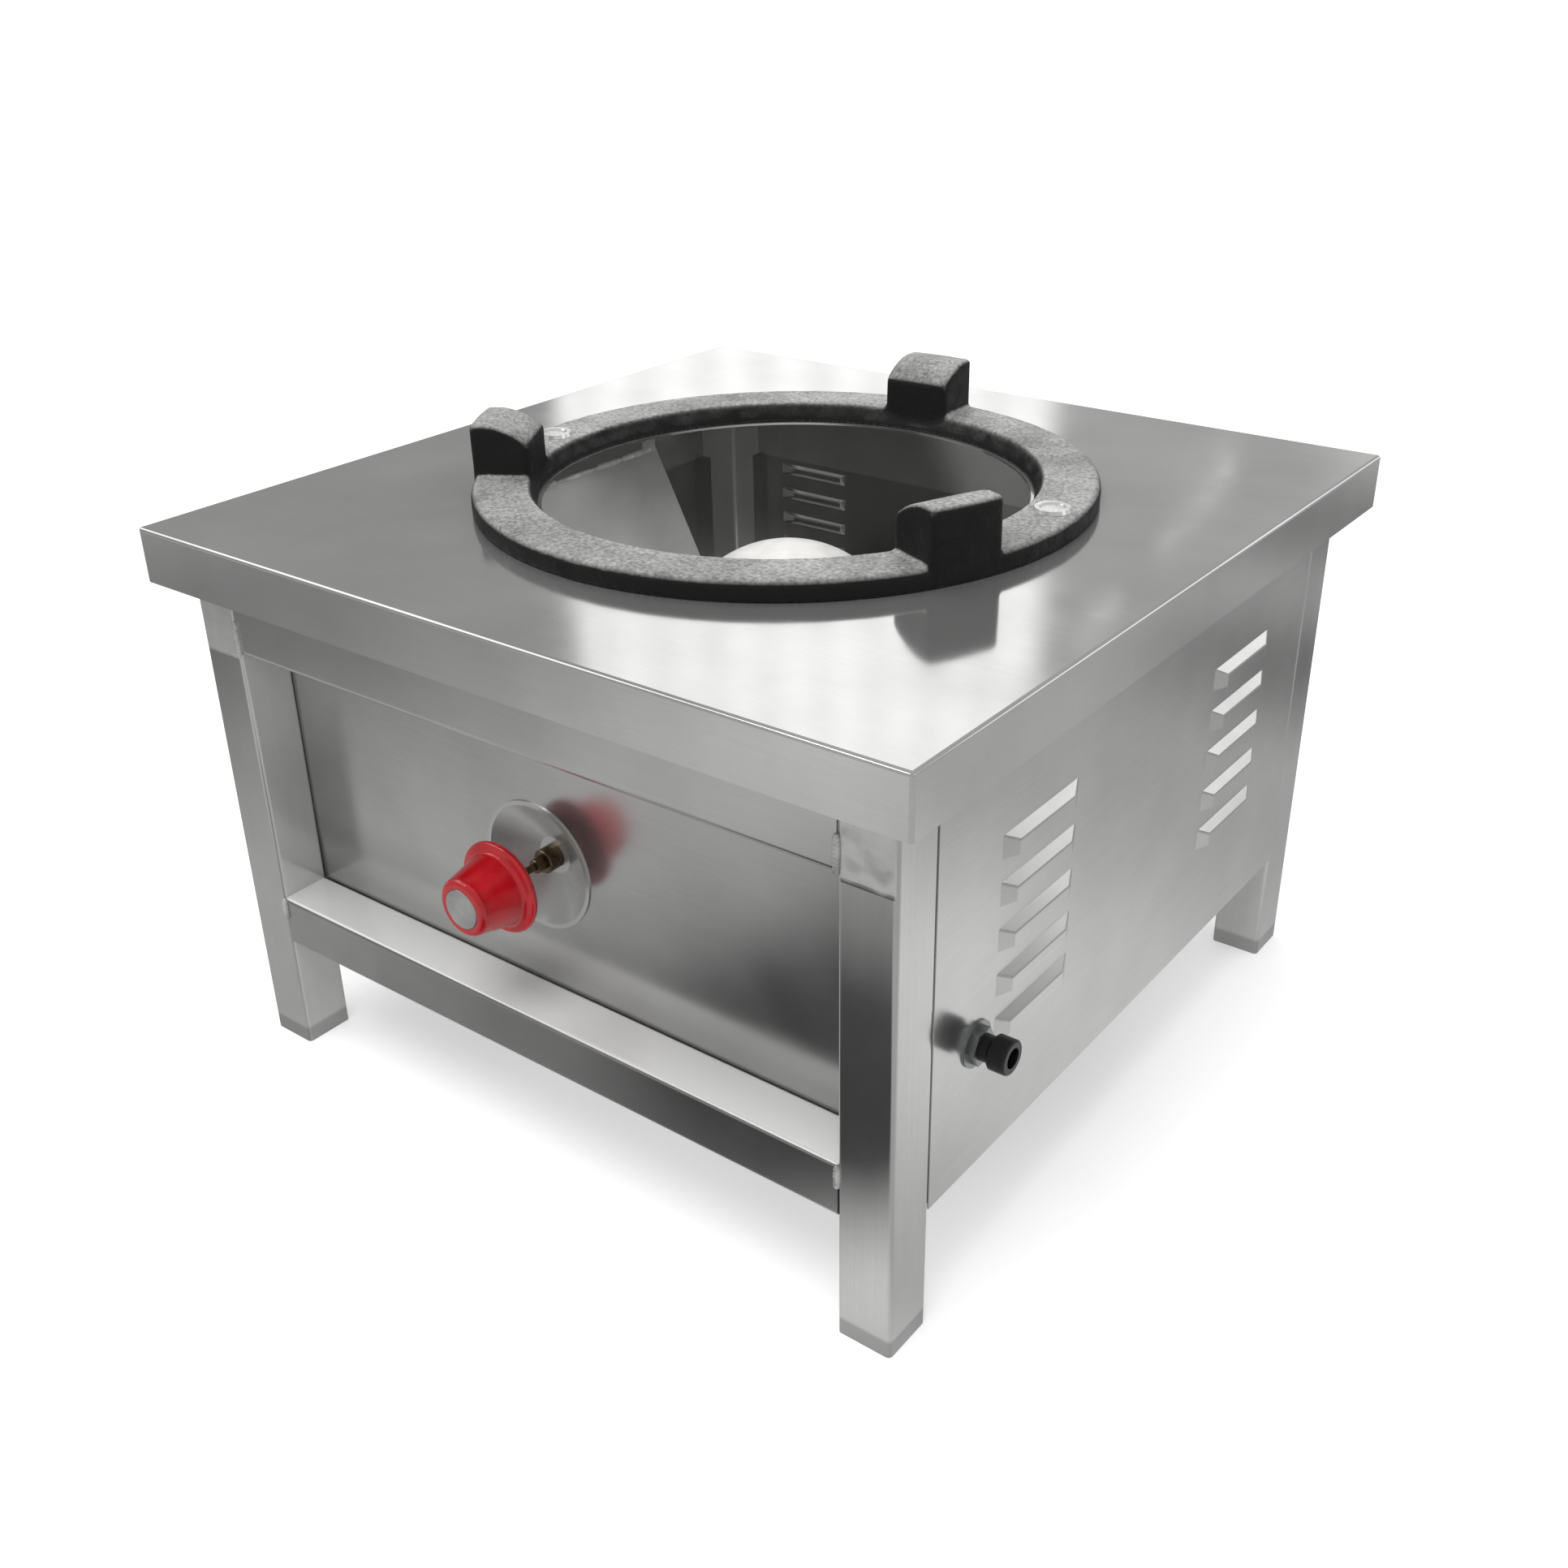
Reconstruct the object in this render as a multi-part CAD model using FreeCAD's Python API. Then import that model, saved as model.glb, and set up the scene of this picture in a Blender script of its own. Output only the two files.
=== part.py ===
"""Stock pot range: a low square stainless table with one gas burner under a cast pan ring.

The origin is on the floor under the middle of the deck. +X points right along the knob side, +Y points
from the knob side to the back and +Z points up. Every size is in millimetres.
"""

import FreeCAD, Part
import math
import os

V = FreeCAD.Vector

# --- Deck -------------------------------------------------------------------------------------------
deck_side = 610.0           # square top, outside the apron
deck_height = 404.0         # floor to the top of the deck
deck_sheet = 1.5
deck_fold_inside = 1.0      # inside radius of the folded edges
deck_hole_margin = 1.5      # the cut edge shows this much inside the ring's bore
apron_drop = 38.0           # height of the folded edge
apron_lip_gap = 8.0         # free gap between the apron's hidden lip and the legs

# --- Legs and rails ---------------------------------------------------------------------------------
tube_side = 38.0            # square tube of the legs and the bottom rails
tube_wall = 1.5
tube_inside_radius = 1.5
leg_inset = 21.0            # apron face to leg face
foot_thickness = 2.0
top_rail_depth = 83.5       # web height under the deck
top_rail_flange = 30.0
top_rail_sheet = 1.5
front_hem_depth = 9.0       # inward fold along the front rail's lower edge
front_hem_radius = 4.5      # its outer radius
bottom_rail_underside = 90.0

# --- Panels -----------------------------------------------------------------------------------------
panel_sheet = 1.0
panel_overhang = 2.0        # how far a louvred panel hangs below the bottom rail
panel_flange = 10.0         # fold at a louvred panel's sides, along the legs' inner faces
panel_lap = 6.0             # how far the front panel reaches behind the legs
panel_drop = 20.0           # and behind the bottom rail

side_louvre_length = 86.0
side_louvre_height = 15.2
side_louvre_depth = 4.8
side_louvre_pitch = 30.5
side_louvre_margin = 66.0   # leg to the near end of a louvre
side_louvre_drop = 97.3     # deck top to the top of the highest louvre

rear_louvre_length = 73.0
rear_louvre_height = 13.4
rear_louvre_depth = 4.4
rear_louvre_pitch = 22.7
rear_louvre_margin = 24.5
rear_louvre_drop = 88.6

louvre_rows = 5
louvre_inside_radius = 1.5
louvre_end_lean = 2.4       # run of a sloping end for each unit of depth
louvre_top_lean = 1.3       # drop of the sloping top for each unit of depth
louvre_lip_cover = 2.4      # the hood hangs this far below the cut in the sheet
louvre_bend = 0.8           # rounded inner edge of the cut

# --- Heat deflectors --------------------------------------------------------------------------------
deflector_sheet = 1.2
deflector_top_offset = 205.0    # middle of the table to the plate's upper edge
deflector_top_drop = 26.0       # deck top to the plate's upper edge
deflector_slope = 27.0          # degrees from upright
deflector_half_width = 95.0
deflector_tab_width = 15.0

# --- Pan ring ---------------------------------------------------------------------------------------
ring_outer_radius = 213.0
ring_width = 39.0
ring_thickness = 14.0
ring_inner_flare = 5.5          # how much narrower the bore is at the deck
ring_top_rounding = 5.0
ring_bore_rounding = 2.0
lug_angles = (92.5, 211.5, 337.5)   # degrees from +X
lug_half_width = 26.0
lug_rise = 35.0                 # ring top to the pan seat
lug_fall = 13.0                 # pan seat to the low inner end
lug_seat_length = 14.0          # flat part at the outer end
lug_inner_setback = 2.0         # low end of the lug, inside the ring's bore edge
lug_edge_radius = 3.0
lug_bulge_run = 0.52            # the slope's fullest point: share of the way up the slope
lug_bulge_fall = 0.30           # and its share of the fall
ring_fixing_angles = (8.0, 188.0)
ring_fixing_shank = 5.0
ring_fixing_head = 12.5
ring_fixing_head_height = 2.5
ring_fixing_dish = 7.5
ring_fixing_dish_depth = 1.2
ring_nut_flats = 17.0
ring_nut_height = 8.0
ring_fixing_rim = 1.0           # slope at each side of the head's raised rim
fixing_clearance = 0.5          # a bolt in its hole
bolt_end_reach = 2.0            # thread beyond a nut

# --- Burner -----------------------------------------------------------------------------------------
burner_rim_drop = 79.0          # deck top to the burner's rim
burner_rim_radius = 54.0
burner_wall = 5.0
burner_rim_band = 10.0          # straight part of the bowl under the rim
burner_bowl_depth = 40.0        # rim to the top of the neck
burner_neck_stub = 8.0          # the body's neck above the mixing tube, up to the bowl's own neck
burner_elbow_reach = 6.0        # the body's stub beyond its elbow, up to the mixing tube
mixing_tube_radius = 20.0
mouth_radius = 27.0
mouth_wall = 4.0
mouth_length = 16.0
bridge_thickness = 4.0
air_window_inner = 10.0
air_window_margin = 1.0         # windows inside the mouth's bore
air_window_count = 4
air_window_angle = 45.0
pedestal_radius = 12.0
pedestal_base_thickness = 6.0
burner_bolt_offset = 24.0
burner_bolt_margin = 10.0       # bolt to the end of the base
burner_bolt_radius = 4.0
burner_bolt_flats = 13.0
burner_bolt_head = 5.3
burner_nut_height = 6.5

cap_overhang = 7.0              # cap edge beyond the burner's rim
cap_height = 39.0               # burner's rim to the crown
cap_crown_radius = 87.0
cap_shoulder_radius = 11.0
cap_wall = 3.0
flame_ring_height = 6.0         # burner's rim to the foot of the domed cap
flame_port_count = 28
flame_port_width = 3.0
flame_port_height = 4.0
spigot_depth = 6.0
spigot_wall = 2.6
spigot_gap = 0.4

support_bar_width = 25.0
support_bar_thickness = 5.0
support_bar_spread = 22.0       # burner centre to the middle of a bar
support_bar_end_gap = 8.0       # bar end to the inside of the side panel

shutter_thickness = 2.0
shutter_setback = 2.0           # shutter's edge inside the mouth's rim
shutter_tab_reach = 8.0         # finger tab beyond the shutter's edge
shutter_tab_width = 9.0
shutter_gap = 0.3

jet_holder_radius = 6.0
jet_holder_flats = 24.0
jet_holder_flange = 6.0
jet_holder_reach = 14.0         # mouth face to the inner end of the holder
jet_length = 6.0
jet_radius = 4.5
jet_thread_radius = 3.0
jet_bore_radius = 0.9

# --- Control ----------------------------------------------------------------------------------------
knob_x = -16.5
knob_height = 217.0

dish_radius = 45.0
dish_depth = 15.0
dish_sheet = 1.0
dish_floor_radius = 13.0
dish_rim_width = 3.0
dish_hole_gap = 0.6             # panel hole around the dish
dish_curve_share = 0.56         # depth at the curve's middle, as a share of the whole depth

nose_radius = 6.5
nose_length = 10.0              # nose in front of the valve's shoulder
gland_wall = 1.7
gland_front_wall = 2.6
gland_chamfer = 0.8
valve_radius = 13.0
outlet_radius = 7.0
outlet_length = 10.0
valve_front_wall = 2.0
spring_room_radius = 8.5
spring_room_length = 12.0
spring_wall = 2.0
plug_radius = 7.0
plug_length = 26.0
plug_slot_depth = 10.0
plug_slot_gap = 0.3
plug_end_play = 0.1
valve_back_wall = 10.0
gas_way_radius = 3.0
plug_way_radius = 2.5

spindle_radius = 4.8
spindle_front = 4.0             # thick part in front of the panel
spindle_thin_radius = 2.5
spindle_step_chamfer = 0.6
spindle_end_chamfer = 0.4
spindle_shoulder_radius = 7.5
spindle_shoulder_length = 1.5
spindle_tail_radius = 4.0
spindle_tang_width = 6.4
spindle_tang_thickness = 2.6
spindle_tang_grip = 6.0         # tang inside the plug's slot, knob out
knob_travel = 3.0               # how far the knob is pushed in before it turns
running_gap = 0.05              # radial play of what turns
thrust_washer_thickness = 1.2
thrust_washer_gap = 0.3         # washer to the room's wall and to the spindle's tail
spring_outer_radius = 7.2
spring_inner_radius = 5.6

knob_stand_off = 32.0           # panel to the back of the knob
knob_length = 35.2
knob_root_radius = 24.5
knob_flange_reach = 7.0         # flange beyond the root of the body
knob_flange_thickness = 4.5
knob_flange_back_round = 1.2    # how far the flange's rounded edge draws in at its back
knob_flange_front_round = 1.6   # and at its front
knob_neck_width = 2.8           # foot of the curve from the flange to the body
knob_neck_rise = 0.6
knob_neck_length = 3.5          # flange to the start of the straight taper
knob_neck_middle = (0.9, 1.6)   # the curve's middle: beyond the root, above the flange
knob_taper = 4.7                # root radius less front radius
knob_front_rounding = 4.0
knob_wall = 4.0
knob_hollow_depth = 14.0
knob_hub_radius = 9.0
knob_bore_depth = 22.0
knob_disc_margin = 2.4          # disc to the flat front's edge
knob_disc_thickness = 1.4
knob_disc_recess = 1.0
knob_disc_rounding = 0.6
knob_disc_gap = 0.1
grub_radius = 2.0
grub_offset = 6.0               # back of the knob to the grub screw
grub_gap = 0.5                  # its outer end inside the hub's wall
knob_hollow_draft = 1.0

# --- Gas line ---------------------------------------------------------------------------------------
inlet_set_back = 46.0           # front panel to the pipe's axis
pipe_radius = 8.3
pipe_wall = 2.3
nozzle_neck_length = 12.0       # panel to the end collar
nozzle_collar_step = 2.7        # collar beyond the neck
nozzle_collar_length = 12.6
nozzle_collar_rounding = 1.5
inlet_bore_radius = 6.4
inlet_bore_depth = 14.0
inlet_way_radius = 4.0
nozzle_tail_length = 28.0
inlet_hole_gap = 0.4
inlet_washer_width = 6.7
inlet_washer_thickness = 1.4
locknut_wall = 2.2
locknut_thickness = 4.5
fitting_wall = 3.7              # coupling and elbow round the pipe
coupling_length = 30.0
elbow_pipe_reach = 22.0
elbow_nipple_reach = 17.0
socket_depth = 12.0
elbow_way_radius = 5.0
nipple_radius = 7.0
nipple_bore = 4.0
nipple_depth = 9.0              # how far it goes into the elbow
nipple_plug_gap = 1.5           # its upper end to the valve plug
nipple_flats = 20.0
nipple_hex_length = 6.0
valve_port_wall = 3.0
valve_port_reach = 15.0         # valve axis to the face of its inlet port
thread_gap = 0.05

feed_radius = 4.0
feed_wall = 1.2
feed_span = 46.0                # valve outlet to jet holder, along Y
feed_straight = 5.0
union_flats = 19.0
union_length = 10.0
union_wall = 3.0

# --- Sizes and places that follow from the ones above -------------------------------------------------
deck_half = deck_side / 2
deck_underside = deck_height - deck_sheet
leg_face = deck_half - leg_inset
leg_inner = leg_face - tube_side
panel_inner_face = leg_face - panel_sheet
bottom_rail_top = bottom_rail_underside + tube_side
top_rail_underside = deck_underside - top_rail_depth
panel_front = -leg_inner

ring_top = deck_height + ring_thickness
ring_inner_radius = ring_outer_radius - ring_width
ring_bore_low = ring_inner_radius - ring_inner_flare
ring_fixing_circle = (ring_outer_radius + ring_inner_radius) / 2
deck_hole_radius = ring_bore_low - deck_hole_margin

bar_top = bottom_rail_top + support_bar_thickness
burner_rim_height = deck_height - burner_rim_drop
burner_neck_joint = knob_height + mixing_tube_radius + burner_neck_stub
burner_elbow_end = -(mixing_tube_radius + burner_elbow_reach)
mixing_way_radius = mixing_tube_radius - burner_wall
cap_radius = burner_rim_radius + cap_overhang
pedestal_base_x = 2 * (burner_bolt_offset + burner_bolt_margin)
pedestal_base_y = 2 * support_bar_spread + support_bar_width
mouth_bore = mouth_radius - mouth_wall
air_window_outer = mouth_bore - air_window_margin
shutter_radius = mouth_radius - shutter_setback

dish_back = dish_depth + dish_sheet
valve_length = valve_front_wall + spring_room_length + spring_wall + plug_length + valve_back_wall
gland_radius = nose_radius + gland_wall
gland_length = nose_length - dish_sheet + gland_front_wall
knob_flange_radius = knob_root_radius + knob_flange_reach
knob_front_radius = knob_root_radius - knob_taper
knob_hollow_radius = knob_root_radius - knob_wall
knob_disc_radius = knob_front_radius - knob_front_rounding - knob_disc_margin

feed_bore = feed_radius - feed_wall
feed_start_y = panel_front + dish_back + valve_length + outlet_length
holder_stub_front = feed_start_y + feed_span
holder_flange_front = holder_stub_front + outlet_length
holder_flange_back = holder_flange_front + jet_holder_flange
mouth_y = holder_flange_back + shutter_thickness + 2 * shutter_gap

inlet_y = panel_front + inlet_set_back
inlet_height = knob_height - valve_port_reach - nipple_hex_length - elbow_nipple_reach
pipe_bore = pipe_radius - pipe_wall
nozzle_collar_radius = pipe_radius + nozzle_collar_step
inlet_washer_radius = pipe_radius + inlet_washer_width
locknut_flats = 2 * (pipe_radius + locknut_wall)
coupling_radius = pipe_radius + fitting_wall
elbow_radius = coupling_radius
valve_port_radius = nipple_radius + valve_port_wall


# --- Small builders ---------------------------------------------------------------------------------
def block(x, y, z):
    """A box from three (low, high) pairs."""
    return Part.makeBox(x[1] - x[0], y[1] - y[0], z[1] - z[0], V(x[0], y[0], z[0]))


def rod(axis, centre, radius, low, high):
    """A cylinder along "x", "y" or "z"; centre gives the other two coordinates in X, Y, Z order."""
    start = {"x": V(low, *centre), "y": V(centre[0], low, centre[1]), "z": V(*centre, low)}[axis]
    along = {"x": V(1, 0, 0), "y": V(0, 1, 0), "z": V(0, 0, 1)}[axis]
    return Part.makeCylinder(radius, high - low, start, along)


def tube(axis, centre, outer, inner, low, high):
    """A round tube."""
    return rod(axis, centre, outer, low, high).cut(rod(axis, centre, inner, low, high))


def outline(points):
    """A closed wire in the XZ plane. A point is (x, z); ("arc", middle, end) bends through middle."""
    edges = []
    here = points[0]
    for step in list(points[1:]) + [points[0]]:
        if step[0] == "arc":
            ends = [V(p[0], 0, p[1]) for p in (here, step[1], step[2])]
            edges.append(Part.Arc(*ends).toShape())
            here = step[2]
        elif step != here:
            edges.append(Part.makeLine(V(here[0], 0, here[1]), V(step[0], 0, step[1])))
            here = step
    return Part.Wire(edges)


def turned(points):
    """A solid of revolution about Z from (radius, height) points."""
    return Part.Face(outline(points)).revolve(V(0, 0, 0), V(0, 0, 1), 360)


def extruded(points, low, high):
    """The XZ outline as a solid between two places along Y."""
    face = Part.Face(outline(points))
    face.translate(V(0, low, 0))
    return face.extrude(V(0, high - low, 0))


def hexagon(axis, centre, flats, low, high):
    """A hexagonal prism along "x", "y" or "z", by its width across flats."""
    corner = flats / math.sqrt(3)
    turns = [math.radians(60 * k + 30) for k in range(7)]
    wire = Part.makePolygon([V(corner * math.cos(a), corner * math.sin(a), 0) for a in turns])
    prism = Part.Face(wire).extrude(V(0, 0, high - low))
    if axis == "x":
        prism.rotate(V(0, 0, 0), V(0, 1, 0), 90)
        prism.translate(V(low, *centre))
    elif axis == "y":
        prism.rotate(V(0, 0, 0), V(1, 0, 0), -90)
        prism.translate(V(centre[0], low, centre[1]))
    else:
        prism.translate(V(*centre, low))
    return prism


def nut(axis, centre, flats, bore, low, high):
    """A plain hexagonal nut."""
    return hexagon(axis, centre, flats, low, high).cut(rod(axis, centre, bore, low, high))


def square_tube(length):
    """The frame's square tube along Z from the origin, with rounded corners, centred on the axis."""
    half = tube_side / 2
    outer = block((-half, half), (-half, half), (0, length))
    outer = outer.makeFillet(tube_inside_radius + tube_wall, upright_edges(outer))
    hollow = half - tube_wall
    inner = block((-hollow, hollow), (-hollow, hollow), (0, length))
    inner = inner.makeFillet(tube_inside_radius, upright_edges(inner))
    return outer.cut(inner)


def upright_edges(shape):
    """The straight edges of a shape that run along Z."""
    found = []
    for edge in shape.Edges:
        a, b = edge.Vertexes[0].Point, edge.Vertexes[-1].Point
        if abs(a.x - b.x) < 1e-6 and abs(a.y - b.y) < 1e-6 and abs(a.z - b.z) > 1e-6:
            found.append(edge)
    return found


def edges_at(shape, height):
    """The edges of a shape that lie wholly at one height."""
    return [e for e in shape.Edges if all(abs(v.Point.z - height) < 1e-6 for v in e.Vertexes)]


def knob_axis(shape):
    """Stand a shape built up Z from the panel's face on the knob's axis, pointing out of the panel."""
    shape.rotate(V(0, 0, 0), V(1, 0, 0), 90)
    shape.translate(V(knob_x, panel_front, knob_height))
    return shape


def fused(shapes):
    """One solid from overlapping shapes, with its seams removed."""
    whole = shapes[0].fuse(shapes[1:])
    return whole.removeSplitter()


# --- Deck -------------------------------------------------------------------------------------------
def make_deck():
    """The folded tray: flat top, apron, hidden lip, round cut-out and the fixing holes."""
    lower = deck_height - apron_drop
    body = block((-deck_half, deck_half), (-deck_half, deck_half), (lower, deck_height))
    outer_fold = deck_fold_inside + deck_sheet
    body = body.makeFillet(outer_fold, upright_edges(body) + edges_at(body, deck_height))
    inside = deck_half - deck_sheet
    room = block((-inside, inside), (-inside, inside), (lower + deck_sheet, deck_underside))
    room = room.makeFillet(deck_fold_inside, upright_edges(room) + edges_at(room, deck_underside))
    mouth = leg_face + apron_lip_gap
    opening = block((-mouth, mouth), (-mouth, mouth), (lower, lower + deck_sheet))
    hole = rod("z", (0, 0), deck_hole_radius, lower, deck_height)
    tray = body.cut([room, opening, hole])
    return tray.cut(fixing_holes(lower, deck_height))


def fixing_places():
    """Where the ring's fixings stand."""
    angles = [math.radians(a) for a in ring_fixing_angles]
    return [(ring_fixing_circle * math.cos(a), ring_fixing_circle * math.sin(a)) for a in angles]


def fixing_holes(low, high):
    """The clearance holes for the ring's fixings."""
    radius = ring_fixing_shank + fixing_clearance
    return [rod("z", place, radius, low, high) for place in fixing_places()]


# --- Frame ------------------------------------------------------------------------------------------
def make_leg(side_x, side_y):
    """One leg; side_x and side_y are -1 or 1."""
    leg = square_tube(deck_underside - foot_thickness)
    middle = leg_face - tube_side / 2
    leg.translate(V(side_x * middle, side_y * middle, foot_thickness))
    return leg


def make_feet():
    """The four plates that close the legs at the floor."""
    middle = leg_face - tube_side / 2
    half = tube_side / 2
    feet = []
    for side_x in (-1, 1):
        for side_y in (-1, 1):
            plate = block((-half, half), (-half, half), (0, foot_thickness))
            plate = plate.makeFillet(tube_inside_radius + tube_wall, upright_edges(plate))
            plate.translate(V(side_x * middle, side_y * middle, 0))
            feet.append(plate)
    return Part.makeCompound(feet)


def make_top_rail(face, turn):
    """A folded angle under the deck, its web at distance face on the -Y side, then turned about Z."""
    web = block((-leg_inner, leg_inner), (-face, -face + top_rail_sheet), (top_rail_underside, deck_underside))
    flange = block(
        (-leg_inner, leg_inner), (-face, -face + top_rail_flange), (deck_underside - top_rail_sheet, deck_underside)
    )
    rail = fused([web, flange])
    rail.rotate(V(0, 0, 0), V(0, 0, 1), turn)
    return rail


def make_front_top_rail():
    """The front rail, its lower edge folded inward so that no raw edge faces the cook."""
    fold = block(
        (-leg_inner, leg_inner), (-leg_face, -leg_face + front_hem_depth),
        (top_rail_underside, top_rail_underside + front_hem_depth),
    )
    fold = fold.makeFillet(front_hem_radius, edges_along_x(fold, -leg_face, top_rail_underside))
    inner_y, inner_z = -leg_face + top_rail_sheet, top_rail_underside + top_rail_sheet
    room = block(
        (-leg_inner, leg_inner), (inner_y, -leg_face + front_hem_depth), (inner_z, top_rail_underside + front_hem_depth)
    )
    room = room.makeFillet(front_hem_radius - top_rail_sheet, edges_along_x(room, inner_y, inner_z))
    upper = block(
        (-leg_inner, leg_inner), (-leg_face, leg_face), (top_rail_underside + front_hem_depth, deck_underside)
    )
    return make_top_rail(leg_face, 0).common(upper).fuse(fold.cut(room)).removeSplitter()


def edges_along_x(shape, y, z):
    """The edges that run along X at Y = y and Z = z."""
    return [e for e in shape.Edges if all(abs(v.Y - y) < 1e-6 and abs(v.Z - z) < 1e-6 for v in e.Vertexes)]


def make_bottom_rail(face, turn):
    """A square tube between two legs, its face at distance face on the -Y side, then turned about Z."""
    rail = square_tube(2 * leg_inner)
    rail.rotate(V(0, 0, 0), V(0, 1, 0), 90)
    half = tube_side / 2
    rail.translate(V(-leg_inner, -face + half, bottom_rail_underside + half))
    rail.rotate(V(0, 0, 0), V(0, 0, 1), turn)
    return rail


# --- Panels -----------------------------------------------------------------------------------------
def frustum(length, height, depth):
    """A louvre's bulge on the plane X = 0: sloping top and ends, flat underside."""
    half = length / 2
    base = [V(0, -half, 0), V(0, half, 0), V(0, half, height), V(0, -half, height)]
    crest = half - depth * louvre_end_lean
    shoulder = height - depth * louvre_top_lean
    front = [V(depth, -crest, 0), V(depth, crest, 0), V(depth, crest, shoulder), V(depth, -crest, shoulder)]
    wires = [Part.makePolygon(ring + [ring[0]]) for ring in (base, front)]
    return Part.makeLoft(wires, True, True)


def louvre(length, height, depth):
    """A pressed louvre on the plane X = 0, the void in it and the cut behind it, with the lip at Z = 0."""
    hood = frustum(length, height, depth)
    rounded = [e for e in hood.Edges if not_on_back_or_lip(e)]
    hood = hood.makeFillet(louvre_inside_radius + panel_sheet, rounded)
    end_wall = panel_sheet * math.hypot(1, louvre_end_lean)
    top_wall = panel_sheet * math.hypot(1, louvre_top_lean)
    void = frustum(length - 2 * end_wall, height - top_wall, depth - panel_sheet)
    rounded = [e for e in void.Edges if not_on_back_or_lip(e)]
    void = void.makeFillet(louvre_inside_radius, rounded)
    return hood, void, louvre_cut(length / 2 - end_wall, height - top_wall)


def louvre_cut(half, top):
    """The cut through the sheet behind a louvre, its top and ends rounded on the sheet's inner face."""
    clear = 2 * louvre_bend
    through = block((-panel_sheet, 0), (-half, half), (louvre_lip_cover, top))
    behind = block(
        (-panel_sheet - clear, -panel_sheet), (-half - clear, half + clear), (louvre_lip_cover, top + clear)
    )
    cut = fused([through, behind])
    corner = []
    for edge in cut.Edges:
        ends = [v.Point for v in edge.Vertexes]
        on_face = all(abs(p.x + panel_sheet) < 1e-6 for p in ends)
        if on_face and all(abs(p.y) <= half + 1e-6 and p.z <= top + 1e-6 for p in ends):
            corner.append(edge)
    return cut.makeFillet(louvre_bend, corner)


def not_on_back_or_lip(edge):
    """True for an edge that isn't on the panel's plane or along the open lip."""
    on_back = all(abs(v.Point.x) < 1e-6 for v in edge.Vertexes)
    on_lip = all(abs(v.Point.z) < 1e-6 for v in edge.Vertexes)
    return not on_back and not on_lip


def make_louvred_panel(turn, length, height, depth, pitch, margin, drop):
    """A panel flush with the legs' faces, its folds and two columns of louvres; built on +X, then turned."""
    low = bottom_rail_underside - panel_overhang
    sheet = block((panel_inner_face, leg_face), (-leg_inner, leg_inner), (low, deck_underside))
    fold = (panel_inner_face - panel_flange, panel_inner_face)
    fold_inner = leg_inner - panel_sheet
    for reach in ((-leg_inner, -fold_inner), (fold_inner, leg_inner)):
        sheet = sheet.fuse(block(fold, reach, (bottom_rail_top, top_rail_underside)))
    hood, void, cut = louvre(length, height, depth)
    spread = leg_inner - margin - length / 2
    lip = deck_height - drop - height
    hoods, voids = [], []
    for column in (-spread, spread):
        for row in range(louvre_rows):
            place = V(leg_face, column, lip - row * pitch)
            hoods.append(hood.translated(place))
            voids += [void.translated(place), cut.translated(place)]
    panel = sheet.fuse(hoods).cut(voids).removeSplitter()
    panel.rotate(V(0, 0, 0), V(0, 0, 1), turn)
    return panel


def make_front_panel():
    """The panel behind the front legs; its lower end reaches behind the bottom rail."""
    back = panel_front + panel_sheet
    half = leg_inner + panel_lap
    sheet = block((-half, half), (panel_front, back), (bottom_rail_top, deck_underside))
    between_rails = panel_inner_face - tube_side
    tail = block((-between_rails, between_rails), (panel_front, back), (bottom_rail_top - panel_drop, bottom_rail_top))
    hole = dish_radius - dish_rim_width + dish_hole_gap
    return sheet.fuse(tail).removeSplitter().cut(rod("y", (knob_x, knob_height), hole, panel_front, back))


def make_deflector(side):
    """A slanted plate from two tabs under the deck down to the support bars; side is -1 or 1."""
    lean = math.tan(math.radians(deflector_slope))
    across = deflector_sheet / math.cos(math.radians(deflector_slope))
    top = deck_height - deflector_top_drop
    outer_top = -deflector_top_offset
    outer_bottom = outer_top + (top - bar_top) * lean
    plate = extruded(
        [(outer_top, top), (outer_top + across, top), (outer_bottom + across, bar_top), (outer_bottom, bar_top)],
        -deflector_half_width,
        deflector_half_width,
    )
    tabs = []
    for end in (-1, 1):
        edge = end * deflector_half_width
        inner = edge - end * deflector_tab_width
        reach = (min(edge, inner), max(edge, inner))
        tabs.append(block((outer_top, outer_top + across), reach, (top - across, deck_underside)))
    whole = fused([plate] + tabs)
    if side > 0:
        whole.rotate(V(0, 0, 0), V(0, 0, 1), 180)
    return whole


# --- Pan ring ---------------------------------------------------------------------------------------
def make_lug():
    """One lug along +X: flat seat at the outer end, then a convex slope to the low inner end."""
    inner_end = ring_inner_radius - lug_inner_setback
    seat_start = ring_outer_radius - lug_seat_length
    seat = ring_top + lug_rise
    low = seat - lug_fall
    bulge = (inner_end + (seat_start - inner_end) * lug_bulge_run, seat - lug_fall * lug_bulge_fall)
    beyond = ring_outer_radius + lug_half_width
    foot = ring_top - ring_thickness / 2
    side_view = [
        (inner_end, foot), (inner_end, low), ("arc", bulge, (seat_start, seat)), (beyond, seat), (beyond, foot)
    ]
    bar = extruded(side_view, -lug_half_width, lug_half_width)
    lug = bar.common(rod("z", (0, 0), ring_outer_radius, foot, seat))
    rounded = [e for e in lug.Edges if min(v.Point.z for v in e.Vertexes) > foot + 1]
    upright = [e for e in upright_edges(lug) if min(v.Point.z for v in e.Vertexes) < foot + 1]
    return lug.makeFillet(lug_edge_radius, rounded + upright)


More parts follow.
